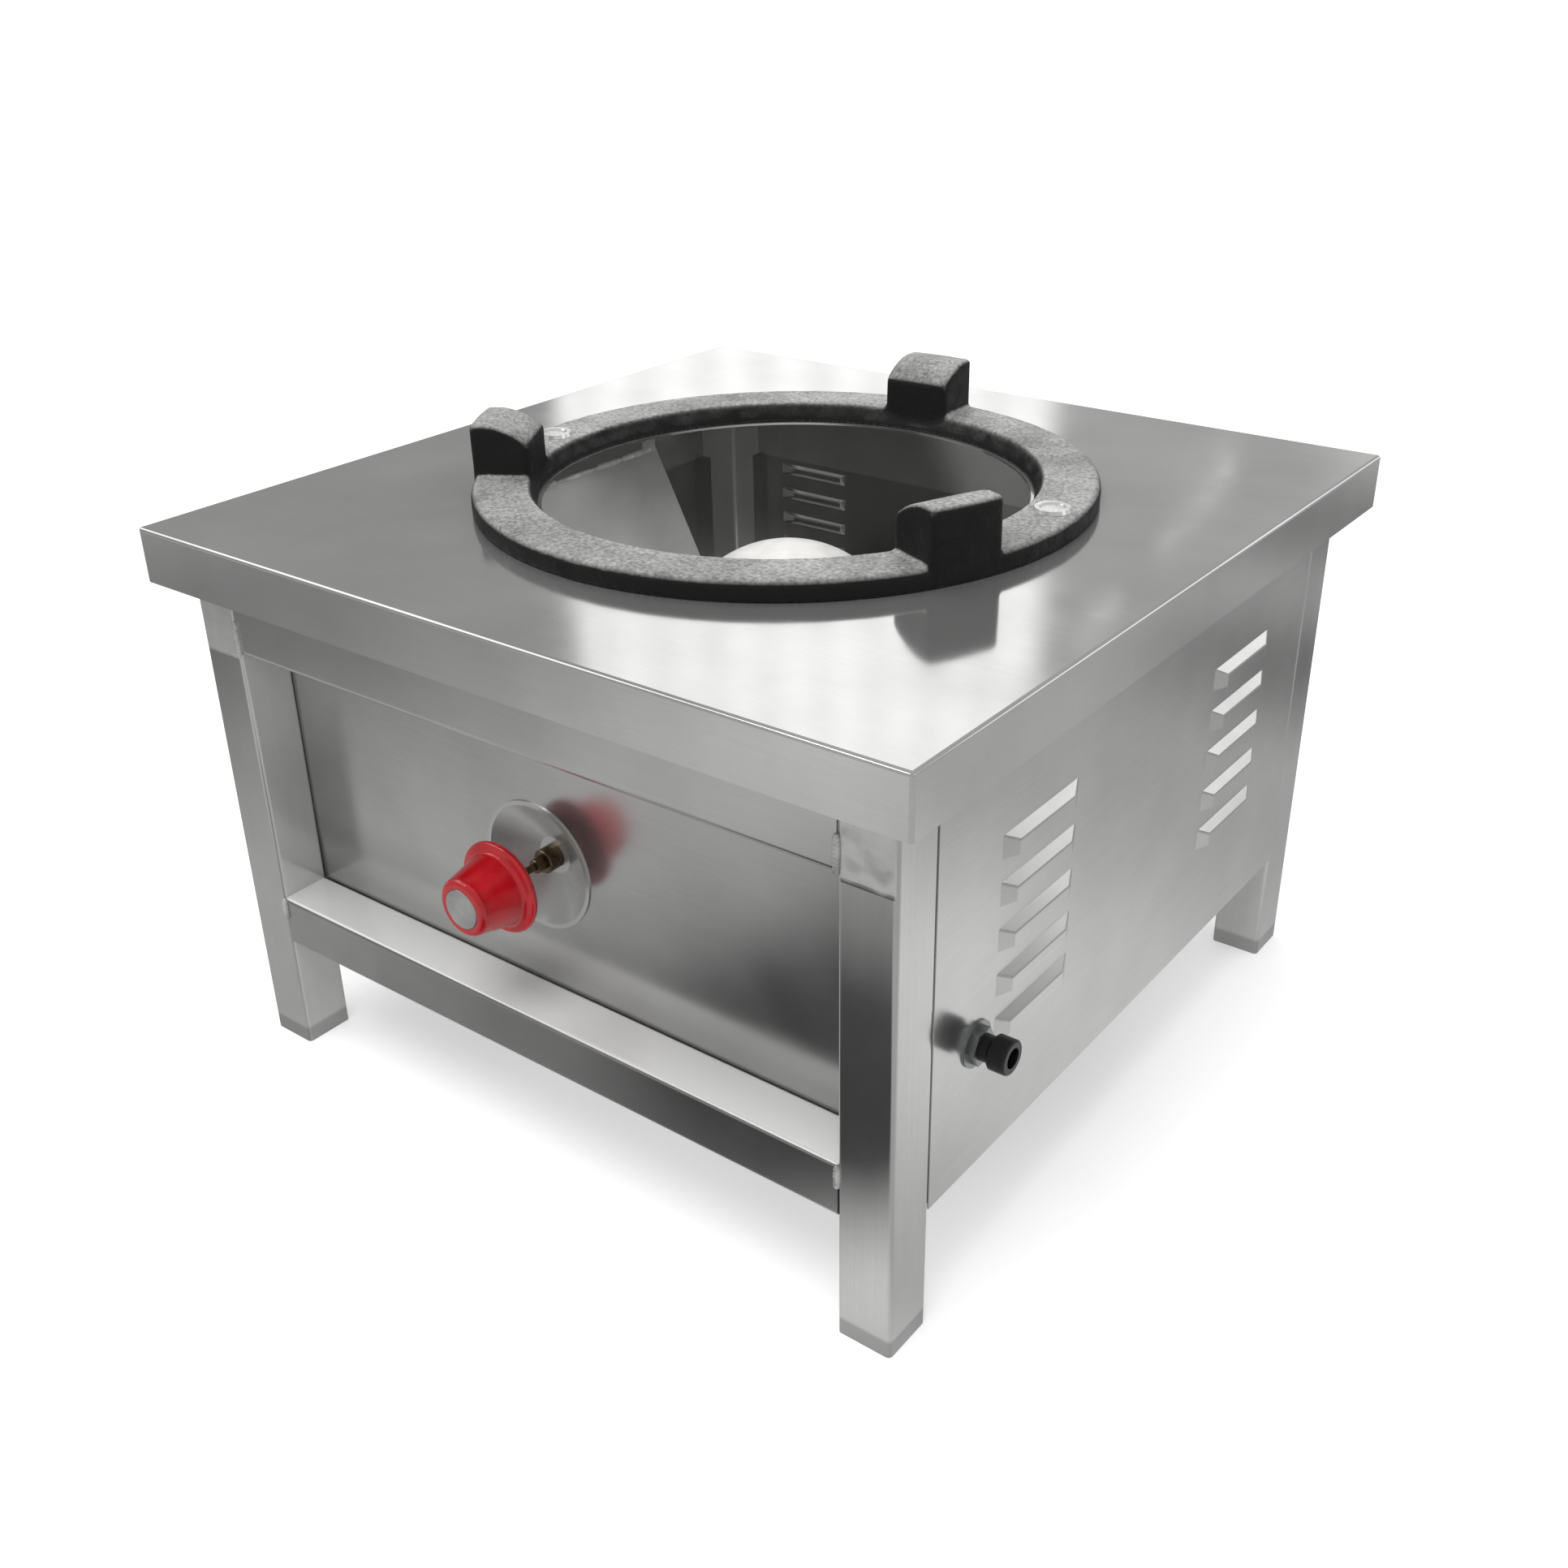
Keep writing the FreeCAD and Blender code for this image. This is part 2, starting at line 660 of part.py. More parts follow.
def make_ring():
    """The cast ring, its three lugs and the two fixing holes."""
    diagonal = 1 - math.sqrt(0.5)
    outer, bore = ring_outer_radius, ring_inner_radius
    shoulder = ring_top_rounding
    edge = ring_bore_rounding
    section = [
        (ring_bore_low, deck_height),
        (outer, deck_height),
        (outer, ring_top - shoulder),
        ("arc", (outer - shoulder * diagonal, ring_top - shoulder * diagonal), (outer - shoulder, ring_top)),
        (bore + edge, ring_top),
        ("arc", (bore + edge * diagonal, ring_top - edge * diagonal), (bore, ring_top - edge)),
    ]
    ring = turned(section)
    lugs = []
    for angle in lug_angles:
        lug = make_lug()
        lug.rotate(V(0, 0, 0), V(0, 0, 1), angle)
        lugs.append(lug)
    return ring.fuse(lugs).cut(fixing_holes(deck_height, ring_top))


def make_ring_fixings():
    """Two low round-headed bolts with a shallow dish in the head."""
    end = deck_underside - ring_nut_height - bolt_end_reach
    head_top = ring_top + ring_fixing_head_height
    floor = head_top - ring_fixing_dish_depth
    bolts = []
    for place in fixing_places():
        bolt = turned([
            (0, end),
            (ring_fixing_shank, end),
            (ring_fixing_shank, ring_top),
            (ring_fixing_head, ring_top),
            (ring_fixing_head - ring_fixing_rim, head_top),
            (ring_fixing_dish + ring_fixing_rim, head_top),
            (ring_fixing_dish, floor),
            (0, floor),
        ])
        bolt.translate(V(*place, 0))
        bolts.append(bolt)
    return Part.makeCompound(bolts)


def make_ring_nuts():
    """The nuts under the deck."""
    bore = ring_fixing_shank + thread_gap
    low = deck_underside - ring_nut_height
    nuts = [nut("z", place, ring_nut_flats, bore, low, deck_underside) for place in fixing_places()]
    return Part.makeCompound(nuts)


# --- Burner -----------------------------------------------------------------------------------------
def air_windows(low, high, middle):
    """Four ring sectors along Y that let air into the mouth."""
    band = tube("y", (0, middle), air_window_outer, air_window_inner, low, high)
    reach = air_window_outer * 2
    windows = []
    for k in range(air_window_count):
        angle = 360 / air_window_count * k
        start = math.radians(angle - air_window_angle / 2)
        stop = math.radians(angle + air_window_angle / 2)
        corners = [V(0, low, middle)]
        corners += [V(reach * math.cos(a), low, middle + reach * math.sin(a)) for a in (start, stop)]
        wedge = Part.Face(Part.makePolygon(corners + [corners[0]])).extrude(V(0, high - low, 0))
        windows.append(band.common(wedge))
    return windows


def bolt_places():
    """The burner's two bolts."""
    return [(burner_bolt_offset, support_bar_spread), (-burner_bolt_offset, -support_bar_spread)]


def make_burner_bowl():
    """The casting that carries the cap: a cone with a straight band on a neck."""
    neck_top = burner_rim_height - burner_bowl_depth
    band_low = burner_rim_height - burner_rim_band
    rim, inside = burner_rim_radius, burner_rim_radius - burner_wall
    way = mixing_way_radius
    return turned([
        (way, burner_neck_joint),
        (mixing_tube_radius, burner_neck_joint),
        (mixing_tube_radius, neck_top),
        (rim, band_low),
        (rim, burner_rim_height),
        (inside, burner_rim_height),
        (inside, band_low + burner_wall / 2),
        (way, neck_top),
    ])


def make_burner_body():
    """The casting under the bowl: neck, elbow, stub for the mixing tube, pedestal and base."""
    radius, way = mixing_tube_radius, mixing_way_radius
    axis = (0, knob_height)
    centre = V(0, 0, knob_height)
    base_half_x, base_half_y = pedestal_base_x / 2, pedestal_base_y / 2
    base_top = bar_top + pedestal_base_thickness
    solids = [
        rod("z", (0, 0), radius, knob_height, burner_neck_joint),
        Part.makeSphere(radius, centre),
        rod("y", axis, radius, burner_elbow_end, 0),
        rod("z", (0, 0), pedestal_radius, bar_top, knob_height - way - burner_wall / 2),
        block((-base_half_x, base_half_x), (-base_half_y, base_half_y), (bar_top, base_top)),
    ]
    voids = [
        rod("z", (0, 0), way, knob_height, burner_neck_joint),
        Part.makeSphere(way, centre),
        rod("y", axis, way, burner_elbow_end, 0),
    ]
    hole = burner_bolt_radius + fixing_clearance
    voids += [rod("z", place, hole, bar_top, base_top) for place in bolt_places()]
    return fused(solids).cut(voids).removeSplitter()


def make_mixing_tube():
    """The tube in which gas and air mix, with its wider mouth."""
    axis = (0, knob_height)
    front = mouth_y + bridge_thickness
    bell_end = mouth_y + mouth_length
    tube_wide = tube("y", axis, mouth_radius, mixing_way_radius, front, bell_end)
    tube_long = tube("y", axis, mixing_tube_radius, mixing_way_radius, bell_end, burner_elbow_end)
    return fused([tube_wide, tube_long]).cut(rod("y", axis, mouth_bore, front, bell_end - burner_wall))


def make_mouth_bridge():
    """The plate on the mouth that holds the jet and lets air in round it."""
    axis = (0, knob_height)
    back = mouth_y + bridge_thickness
    plate = tube("y", axis, mouth_radius, jet_holder_radius + thread_gap, mouth_y, back)
    return plate.cut(air_windows(mouth_y, back, knob_height))


def dome(radius, crown_radius, foot):
    """An upright cylinder under a spherical crown; all domes share the cap's centre of curvature."""
    centre = burner_rim_height + cap_height - cap_crown_radius
    edge = centre + math.sqrt(crown_radius ** 2 - radius ** 2)
    half_turn = math.asin(radius / crown_radius) / 2
    middle = (crown_radius * math.sin(half_turn), centre + crown_radius * math.cos(half_turn))
    return turned([(0, foot), (radius, foot), (radius, edge), ("arc", middle, (0, centre + crown_radius))])


def make_burner_cap():
    """The domed cap, a shell that stands on the flame ring."""
    foot = burner_rim_height + flame_ring_height
    shell = dome(cap_radius, cap_crown_radius, foot)
    rim = [e for e in shell.Edges if abs(e.BoundBox.ZLength) < 1e-6 and e.BoundBox.ZMin > foot + 1]
    shell = shell.makeFillet(cap_shoulder_radius, rim)
    return shell.cut(dome(cap_radius - cap_wall, cap_crown_radius - cap_wall, foot))


def make_flame_ring():
    """The ring under the cap: flame ports through its foot and a spigot into the bowl."""
    foot = burner_rim_height
    spigot_outer = burner_rim_radius - burner_wall - spigot_gap
    inner = spigot_outer - spigot_wall
    band = tube("z", (0, 0), cap_radius, inner, foot, foot + flame_ring_height)
    spigot = tube("z", (0, 0), spigot_outer, inner, foot - spigot_depth, foot)
    half = flame_port_width / 2
    ports = []
    for k in range(flame_port_count):
        port = block((0, cap_radius + 1), (-half, half), (foot, foot + flame_port_height))
        port.rotate(V(0, 0, 0), V(0, 0, 1), 360 / flame_port_count * k)
        ports.append(port)
    return fused([band, spigot]).cut(ports)


def make_support_bars():
    """Two flat bars from one side rail to the other, under the burner's base."""
    end = panel_inner_face - support_bar_end_gap
    half = support_bar_width / 2
    hole = burner_bolt_radius + fixing_clearance
    holes = [rod("z", place, hole, bottom_rail_top, bar_top) for place in bolt_places()]
    bars = []
    for middle in (-support_bar_spread, support_bar_spread):
        bar = block((-end, end), (middle - half, middle + half), (bottom_rail_top, bar_top))
        bars.append(bar.cut(holes))
    return Part.makeCompound(bars)


def make_burner_bolts():
    """The bolts that hold the burner's base to the bars."""
    base_top = bar_top + pedestal_base_thickness
    end = bottom_rail_top - burner_nut_height - bolt_end_reach
    bolts = []
    for place in bolt_places():
        head = hexagon("z", place, burner_bolt_flats, base_top, base_top + burner_bolt_head)
        bolts.append(fused([head, rod("z", place, burner_bolt_radius, end, base_top)]))
    return Part.makeCompound(bolts)


def make_burner_nuts():
    """The nuts under the bars."""
    bore = burner_bolt_radius + thread_gap
    low = bottom_rail_top - burner_nut_height
    nuts = [nut("z", place, burner_bolt_flats, bore, low, bottom_rail_top) for place in bolt_places()]
    return Part.makeCompound(nuts)


def make_air_shutter():
    """The disc that turns in front of the mouth, with windows that match it and a finger tab."""
    back = mouth_y - shutter_gap
    front = back - shutter_thickness
    axis = (0, knob_height)
    disc = rod("y", axis, shutter_radius, front, back)
    half = shutter_tab_width / 2
    spoke = math.radians(180 / air_window_count)
    reach = shutter_radius + shutter_tab_reach
    tab = block((0, reach), (front, back), (knob_height - half, knob_height + half))
    tab.rotate(V(0, 0, knob_height), V(0, 1, 0), -math.degrees(spoke))
    bore = rod("y", axis, jet_holder_radius + running_gap, front, back)
    return fused([disc, tab]).cut(air_windows(front, back, knob_height) + [bore]).removeSplitter()


def make_jet_holder():
    """The hexagonal holder through the bridge, with the shutter on its barrel."""
    axis = (0, knob_height)
    inner_end = mouth_y + jet_holder_reach
    solids = [
        rod("y", axis, jet_holder_radius, holder_flange_front, inner_end),
        hexagon("y", axis, jet_holder_flats, holder_flange_front, holder_flange_back),
        rod("y", axis, outlet_radius, holder_stub_front, holder_flange_front),
    ]
    voids = [
        rod("y", axis, feed_bore, holder_stub_front, inner_end),
        rod("y", axis, jet_thread_radius + thread_gap, inner_end - jet_length, inner_end),
    ]
    return fused(solids).cut(voids)


def make_jet():
    """The brass jet screwed into the holder's inner end."""
    axis = (0, knob_height)
    face = mouth_y + jet_holder_reach
    solids = [
        rod("y", axis, jet_thread_radius, face - jet_length, face),
        rod("y", axis, jet_radius, face, face + jet_length),
    ]
    return fused(solids).cut(rod("y", axis, jet_bore_radius, face - jet_length, face + jet_length))


# --- Gas line ---------------------------------------------------------------------------------------
def make_feed_tube():
    """The bent tube from the valve's outlet to the jet holder: two equal arcs in one plane."""
    run = feed_span - 2 * feed_straight
    shift = -knob_x
    turn = 2 * math.atan2(shift, run)
    radius = run / (2 * math.sin(turn))
    a, b = V(knob_x, feed_start_y, knob_height), V(knob_x, feed_start_y + feed_straight, knob_height)
    middle = V(knob_x + shift / 2, feed_start_y + feed_straight + run / 2, knob_height)
    c = V(0, holder_stub_front - feed_straight, knob_height)
    d = V(0, holder_stub_front, knob_height)
    half = turn / 2
    first = b + V(radius * (1 - math.cos(half)), radius * math.sin(half), 0)
    second = c - V(radius * (1 - math.cos(half)), radius * math.sin(half), 0)
    path = Part.Wire([
        Part.makeLine(a, b),
        Part.Arc(b, first, middle).toShape(),
        Part.Arc(middle, second, c).toShape(),
        Part.makeLine(c, d),
    ])
    walls = []
    for size in (feed_radius, feed_bore):
        circle = Part.Wire(Part.makeCircle(size, a, V(0, 1, 0)))
        walls.append(path.makePipeShell([circle], True, False))
    return walls[0].cut(walls[1])


def make_union_nuts():
    """The two nuts that hold the feed tube to the valve and to the jet holder."""
    bore = outlet_radius + thread_gap
    tube_hole = feed_radius + thread_gap
    nuts = []
    for x, face, way in ((knob_x, feed_start_y, 1), (0, holder_stub_front, -1)):
        near, far = sorted((face - way * (union_length - union_wall), face + way * union_wall))
        inner_near, inner_far = sorted((face - way * (union_length - union_wall), face))
        body = hexagon("y", (x, knob_height), union_flats, near, far)
        room = rod("y", (x, knob_height), bore, inner_near, inner_far)
        nuts.append(body.cut([room, rod("y", (x, knob_height), tube_hole, near, far)]))
    return Part.makeCompound(nuts)


def make_supply_pipe():
    """The straight pipe from the elbow to the coupling."""
    start = knob_x + elbow_pipe_reach - socket_depth
    end = panel_inner_face - nozzle_tail_length
    return tube("x", (inlet_y, inlet_height), pipe_radius, pipe_bore, start, end)


def make_pipe_coupling():
    """The socket that joins the pipe to the nozzle's tail."""
    middle = panel_inner_face - nozzle_tail_length
    half = coupling_length / 2
    return tube("x", (inlet_y, inlet_height), coupling_radius, pipe_radius + thread_gap, middle - half, middle + half)


def make_pipe_elbow():
    """The elbow under the valve: one socket for the pipe, one for the nipple."""
    corner = V(knob_x, inlet_y, inlet_height)
    side = (inlet_y, inlet_height)
    up = (knob_x, inlet_y)
    right, top = knob_x + elbow_pipe_reach, inlet_height + elbow_nipple_reach
    solids = [
        Part.makeSphere(elbow_radius, corner),
        rod("x", side, elbow_radius, knob_x, right),
        rod("z", up, elbow_radius, inlet_height, top),
    ]
    voids = [
        Part.makeSphere(elbow_way_radius, corner),
        rod("x", side, elbow_way_radius, knob_x, right),
        rod("x", side, pipe_radius + thread_gap, right - socket_depth, right),
        rod("z", up, elbow_way_radius, inlet_height, top),
        rod("z", up, nipple_radius + thread_gap, top - nipple_depth, top),
    ]
    return fused(solids).cut(voids)


def make_hex_nipple():
    """The nipple between the elbow and the valve's inlet port."""
    axis = (knob_x, inlet_y)
    low = inlet_height + elbow_nipple_reach
    end = knob_height - plug_radius - nipple_plug_gap
    body = rod("z", axis, nipple_radius, low - nipple_depth, end)
    flats = hexagon("z", axis, nipple_flats, low, low + nipple_hex_length)
    return fused([body, flats]).cut(rod("z", axis, nipple_bore, low - nipple_depth, end))


def make_inlet_nozzle():
    """The hose inlet: tail in the coupling, neck through the panel, wider end collar with a bore."""
    tail = -(panel_sheet + nozzle_tail_length)
    collar = nozzle_neck_length
    end = nozzle_neck_length + nozzle_collar_length
    soft = nozzle_collar_rounding
    corner = soft * (1 - math.sqrt(0.5))
    nozzle = turned([
        (inlet_way_radius, tail),
        (pipe_radius, tail),
        (pipe_radius, collar),
        (nozzle_collar_radius - soft, collar),
        (nozzle_collar_radius, collar + soft),
        (nozzle_collar_radius, end - soft),
        ("arc", (nozzle_collar_radius - corner, end - corner), (nozzle_collar_radius - soft, end)),
        (inlet_bore_radius, end),
        (inlet_bore_radius, end - inlet_bore_depth),
        (inlet_way_radius, end - inlet_bore_depth),
    ])
    nozzle.rotate(V(0, 0, 0), V(0, 1, 0), 90)
    nozzle.translate(V(leg_face, inlet_y, inlet_height))
    return nozzle


def make_inlet_washer():
    """The washer on the panel's outer face."""
    end = leg_face + inlet_washer_thickness
    return tube("x", (inlet_y, inlet_height), inlet_washer_radius, pipe_radius + thread_gap, leg_face, end)


def make_inlet_locknuts():
    """The two nuts that clamp the nozzle to the panel."""
    axis = (inlet_y, inlet_height)
    bore = pipe_radius + thread_gap
    outer = leg_face + inlet_washer_thickness
    nuts = [
        nut("x", axis, locknut_flats, bore, outer, outer + locknut_thickness),
        nut("x", axis, locknut_flats, bore, panel_inner_face - locknut_thickness, panel_inner_face),
    ]
    return Part.makeCompound(nuts)


# --- Control ----------------------------------------------------------------------------------------
def make_escutcheon():
    """The dished plate in the panel, with its rim on the panel's face and the valve through its floor."""
    bowl_edge = dish_radius - dish_rim_width
    hole = nose_radius + thread_gap
    half_way = ((dish_floor_radius + bowl_edge) / 2, -dish_depth * dish_curve_share)
    dish = turned([
        (hole, -dish_depth),
        (dish_floor_radius, -dish_depth),
        ("arc", half_way, (bowl_edge, dish_sheet)),
        (dish_radius, dish_sheet),
        (dish_radius, 0),
        (bowl_edge, 0),
        ("arc", (half_way[0], half_way[1] - dish_sheet), (dish_floor_radius, -dish_back)),
        (hole, -dish_back),
    ])
    return knob_axis(dish)


def make_valve_body():
    """The brass valve behind the dish: nose, spring room, plug bore, inlet port and outlet."""
    front = -dish_back
    back = front - valve_length
    end = back - outlet_length
    room_front = front - valve_front_wall
    room_back = room_front - spring_room_length
    plug_front = room_back - spring_wall
    plug_back = plug_front - plug_length
    play = running_gap
    body = turned([
        (0, end), (outlet_radius, end), (outlet_radius, back), (valve_radius, back), (valve_radius, front),
        (nose_radius, front), (nose_radius, front + nose_length), (0, front + nose_length),
    ])
    cavity = turned([
        (0, end),
        (gas_way_radius, end),
        (gas_way_radius, plug_back),
        (plug_radius + play, plug_back),
        (plug_radius + play, plug_front),
        (spindle_tail_radius + play, plug_front),
        (spindle_tail_radius + play, room_back),
        (spring_room_radius, room_back),
        (spring_room_radius, room_front),
        (spindle_radius + play, room_front),
        (spindle_radius + play, front + nose_length),
        (0, front + nose_length),
    ])
    axis = (knob_x, inlet_y)
    low = knob_height - valve_port_reach
    port = rod("z", axis, valve_port_radius, low, knob_height)
    port = port.cut(knob_axis(turned([(0, end), (valve_radius - 1, end), (valve_radius - 1, front), (0, front)])))
    drill = rod("z", axis, nipple_radius + thread_gap, low, knob_height - plug_radius - nipple_plug_gap)
    way = rod("z", axis, gas_way_radius, low, knob_height - plug_radius)
    whole = fused([knob_axis(body), port])
    return whole.cut([knob_axis(cavity), way, drill]).removeSplitter()


def make_gland_nut():
    """The round nut on the valve's nose that clamps the dish."""
    low, high = -dish_depth, -dish_depth + gland_length
    nose_end = -dish_back + nose_length
    nut_body = turned([
        (nose_radius + thread_gap, low),
        (gland_radius, low),
        (gland_radius, high - gland_chamfer),
        (gland_radius - gland_chamfer, high),
        (spindle_radius + running_gap, high),
        (spindle_radius + running_gap, nose_end),
        (nose_radius + thread_gap, nose_end),
    ])
    return knob_axis(nut_body)


def make_spindle():
    """The spindle: thin end in the knob, thick part in the gland, shoulder, tail and flat tang."""
    room_front = -dish_back - valve_front_wall
    shoulder_front = room_front - plug_end_play
    shoulder_back = shoulder_front - spindle_shoulder_length
    plug_front = room_front - spring_room_length - spring_wall - plug_end_play
    tail_end = plug_front + knob_travel + plug_slot_gap
    thin_end = knob_stand_off + knob_bore_depth
    shaft = turned([
        (0, tail_end),
        (spindle_tail_radius, tail_end),
        (spindle_tail_radius, shoulder_back),
        (spindle_shoulder_radius, shoulder_back),
        (spindle_shoulder_radius, shoulder_front),
        (spindle_radius, shoulder_front),
        (spindle_radius, spindle_front - spindle_step_chamfer),
        (spindle_radius - spindle_step_chamfer, spindle_front),
        (spindle_thin_radius, spindle_front),
        (spindle_thin_radius, thin_end - spindle_end_chamfer),
        (spindle_thin_radius - spindle_end_chamfer, thin_end),
        (0, thin_end),
    ])
    half_w, half_t = spindle_tang_width / 2, spindle_tang_thickness / 2
    tang = block((-half_t, half_t), (-half_w, half_w), (plug_front - spindle_tang_grip, tail_end))
    return knob_axis(fused([shaft, tang]))


def make_thrust_washer():
    """The washer between the spindle's shoulder and the spring."""
    shoulder_back = -dish_back - valve_front_wall - plug_end_play - spindle_shoulder_length
    front = shoulder_back - running_gap
    back = front - thrust_washer_thickness
    outer, inner = spring_room_radius - thrust_washer_gap, spindle_tail_radius + thrust_washer_gap
    return knob_axis(turned([(inner, back), (outer, back), (outer, front), (inner, front)]))


def make_return_spring():
    """The outer shape of the spring that pushes the knob back out."""
    room_front = -dish_back - valve_front_wall
    shoulder_back = room_front - plug_end_play - spindle_shoulder_length
    front = shoulder_back - running_gap - thrust_washer_thickness
    back = room_front - spring_room_length
    inner, outer = spring_inner_radius, spring_outer_radius
    return knob_axis(turned([(inner, back), (outer, back), (outer, front), (inner, front)]))


def make_valve_plug():
    """The round plug that the tang turns; its side way faces the inlet port at a quarter turn."""
    front = -dish_back - valve_front_wall - spring_room_length - spring_wall - plug_end_play
    back = front + 2 * plug_end_play - plug_length
    body = turned([(0, back), (plug_radius, back), (plug_radius, front), (0, front)])
    half = spindle_tang_thickness / 2 + plug_slot_gap
    across = spindle_tang_width / 2 + plug_slot_gap
    slot = block((-half, half), (-across, across), (front - plug_slot_depth, front))
    port_depth = panel_front - inlet_y
    way = Part.makeCylinder(plug_way_radius, port_depth - back, V(0, 0, back), V(0, 0, 1))
    side = Part.makeCylinder(plug_way_radius, plug_radius, V(0, 0, port_depth), V(-1, 0, 0))
    return knob_axis(body.cut([slot, way, side]))


def make_knob():
    """The flanged knob: hollow behind, bored for the spindle, recessed in front for its disc."""
    back = knob_stand_off
    front = back + knob_length
    flange_front = back + knob_flange_thickness
    rounding = knob_front_rounding
    corner = rounding * (1 - math.sqrt(0.5))
    recess = knob_disc_radius + knob_disc_gap
    flange_edge = (knob_flange_radius - knob_flange_front_round, flange_front)
    neck_middle = (knob_root_radius + knob_neck_middle[0], flange_front + knob_neck_middle[1])
    knob = turned([
        (0, back),
        (knob_flange_radius - knob_flange_back_round, back),
        ("arc", (knob_flange_radius, back + knob_flange_thickness / 2), flange_edge),
        (knob_root_radius + knob_neck_width, flange_front + knob_neck_rise),
        ("arc", neck_middle, (knob_root_radius, flange_front + knob_neck_length)),
        (knob_front_radius, front - rounding),
        ("arc", (knob_front_radius - corner, front - corner), (knob_front_radius - rounding, front)),
        (recess, front),
        (recess, front - knob_disc_recess),
        (0, front - knob_disc_recess),
    ])
    hollow = turned([
        (knob_hub_radius, back),
        (knob_hollow_radius, back),
        (knob_hollow_radius - knob_hollow_draft, back + knob_hollow_depth),
        (knob_hub_radius, back + knob_hollow_depth),
    ])
    bore = Part.makeCylinder(spindle_thin_radius + thread_gap, knob_bore_depth, V(0, 0, back), V(0, 0, 1))
    screw_hole = Part.makeCylinder(
        grub_radius + thread_gap, knob_hub_radius + 1, V(0, 0, back + grub_offset), V(0, -1, 0)
    )
    return knob_axis(knob.cut([hollow, bore, screw_hole]))


def make_knob_disc():
    """The bare metal disc in the knob's face."""
    low = knob_stand_off + knob_length - knob_disc_recess
    top = low + knob_disc_thickness
    r = knob_disc_radius
    soft = knob_disc_rounding
    corner = soft * (1 - math.sqrt(0.5))
    return knob_axis(turned([
        (0, low), (r, low), (r, top - soft), ("arc", (r - corner, top - corner), (r - soft, top)), (0, top)
    ]))


def make_grub_screw():
    """The screw that holds the knob to the spindle."""
    screw = Part.makeCylinder(
        grub_radius, knob_hub_radius - spindle_thin_radius - grub_gap,
        V(0, -spindle_thin_radius, knob_stand_off + grub_offset), V(0, -1, 0),
    )
    return knob_axis(screw.cut(Part.makeSphere(spindle_thin_radius, V(0, 0, knob_stand_off + grub_offset))))


def make_right_panel():
    """The right panel with the hole for the gas inlet."""
    panel = make_louvred_panel(
        0, side_louvre_length, side_louvre_height, side_louvre_depth, side_louvre_pitch, side_louvre_margin,
        side_louvre_drop,
    )
    hole = rod("x", (inlet_y, inlet_height), pipe_radius + inlet_hole_gap, panel_inner_face, leg_face)
    return panel.cut(hole)


def make_all():
    """Every node of the range by name."""
    rail_left = make_bottom_rail(panel_inner_face, 270)
    rail_right = make_bottom_rail(panel_inner_face, 90)
    rail_rear = make_bottom_rail(panel_inner_face, 180).cut([rail_left, rail_right])
    sides = (side_louvre_length, side_louvre_height, side_louvre_depth, side_louvre_pitch, side_louvre_margin)
    rear = (rear_louvre_length, rear_louvre_height, rear_louvre_depth, rear_louvre_pitch, rear_louvre_margin)
    return {
        "top_deck": make_deck(),
        "leg_front_left": make_leg(-1, -1),
        "leg_front_right": make_leg(1, -1),
        "leg_rear_left": make_leg(-1, 1),
        "leg_rear_right": make_leg(1, 1),
        "foot_plates": make_feet(),
        "top_rail_front": make_front_top_rail(),
        "top_rail_right": make_top_rail(panel_inner_face, 90),
        "top_rail_rear": make_top_rail(panel_inner_face, 180),
        "top_rail_left": make_top_rail(panel_inner_face, 270),
        "bottom_rail_front": make_bottom_rail(leg_face, 0),
        "bottom_rail_right": rail_right,
        "bottom_rail_rear": rail_rear,
        "bottom_rail_left": rail_left,
        "front_panel": make_front_panel(),
        "right_panel": make_right_panel(),
        "rear_panel": make_louvred_panel(90, *rear, rear_louvre_drop),
        "left_panel": make_louvred_panel(180, *sides, side_louvre_drop),
        "left_deflector": make_deflector(-1),
        "right_deflector": make_deflector(1),
        "pan_ring": make_ring(),
        "ring_fixings": make_ring_fixings(),
        "ring_nuts": make_ring_nuts(),
        "burner_bowl": make_burner_bowl(),
        "burner_body": make_burner_body(),
        "mixing_tube": make_mixing_tube(),
        "mouth_bridge": make_mouth_bridge(),
        "flame_ring": make_flame_ring(),
        "burner_cap": make_burner_cap(),
        "burner_support_bars": make_support_bars(),
        "burner_bolts": make_burner_bolts(),
        "burner_nuts": make_burner_nuts(),
        "air_shutter": make_air_shutter(),
        "jet_holder": make_jet_holder(),
        "gas_jet": make_jet(),
        "feed_tube": make_feed_tube(),
        "union_nuts": make_union_nuts(),
        "supply_pipe": make_supply_pipe(),
        "pipe_coupling": make_pipe_coupling(),
        "pipe_elbow": make_pipe_elbow(),
        "hex_nipple": make_hex_nipple(),
        "inlet_nozzle": make_inlet_nozzle(),
        "inlet_washer": make_inlet_washer(),
        "inlet_locknuts": make_inlet_locknuts(),
        "escutcheon": make_escutcheon(),
        "valve_body": make_valve_body(),
        "gland_nut": make_gland_nut(),
        "valve_spindle": make_spindle(),
        "thrust_washer": make_thrust_washer(),
        "return_spring": make_return_spring(),
        "valve_plug": make_valve_plug(),
        "knob": make_knob(),
        "knob_disc": make_knob_disc(),
        "knob_grub_screw": make_grub_screw(),
    }


os.makedirs("parts", exist_ok=True)
for name, shape in make_all().items():
    shape.exportStep("parts/" + name + ".step")
    print(name, "solids", len(shape.Solids), "volume", round(shape.Volume), "valid", shape.isValid())
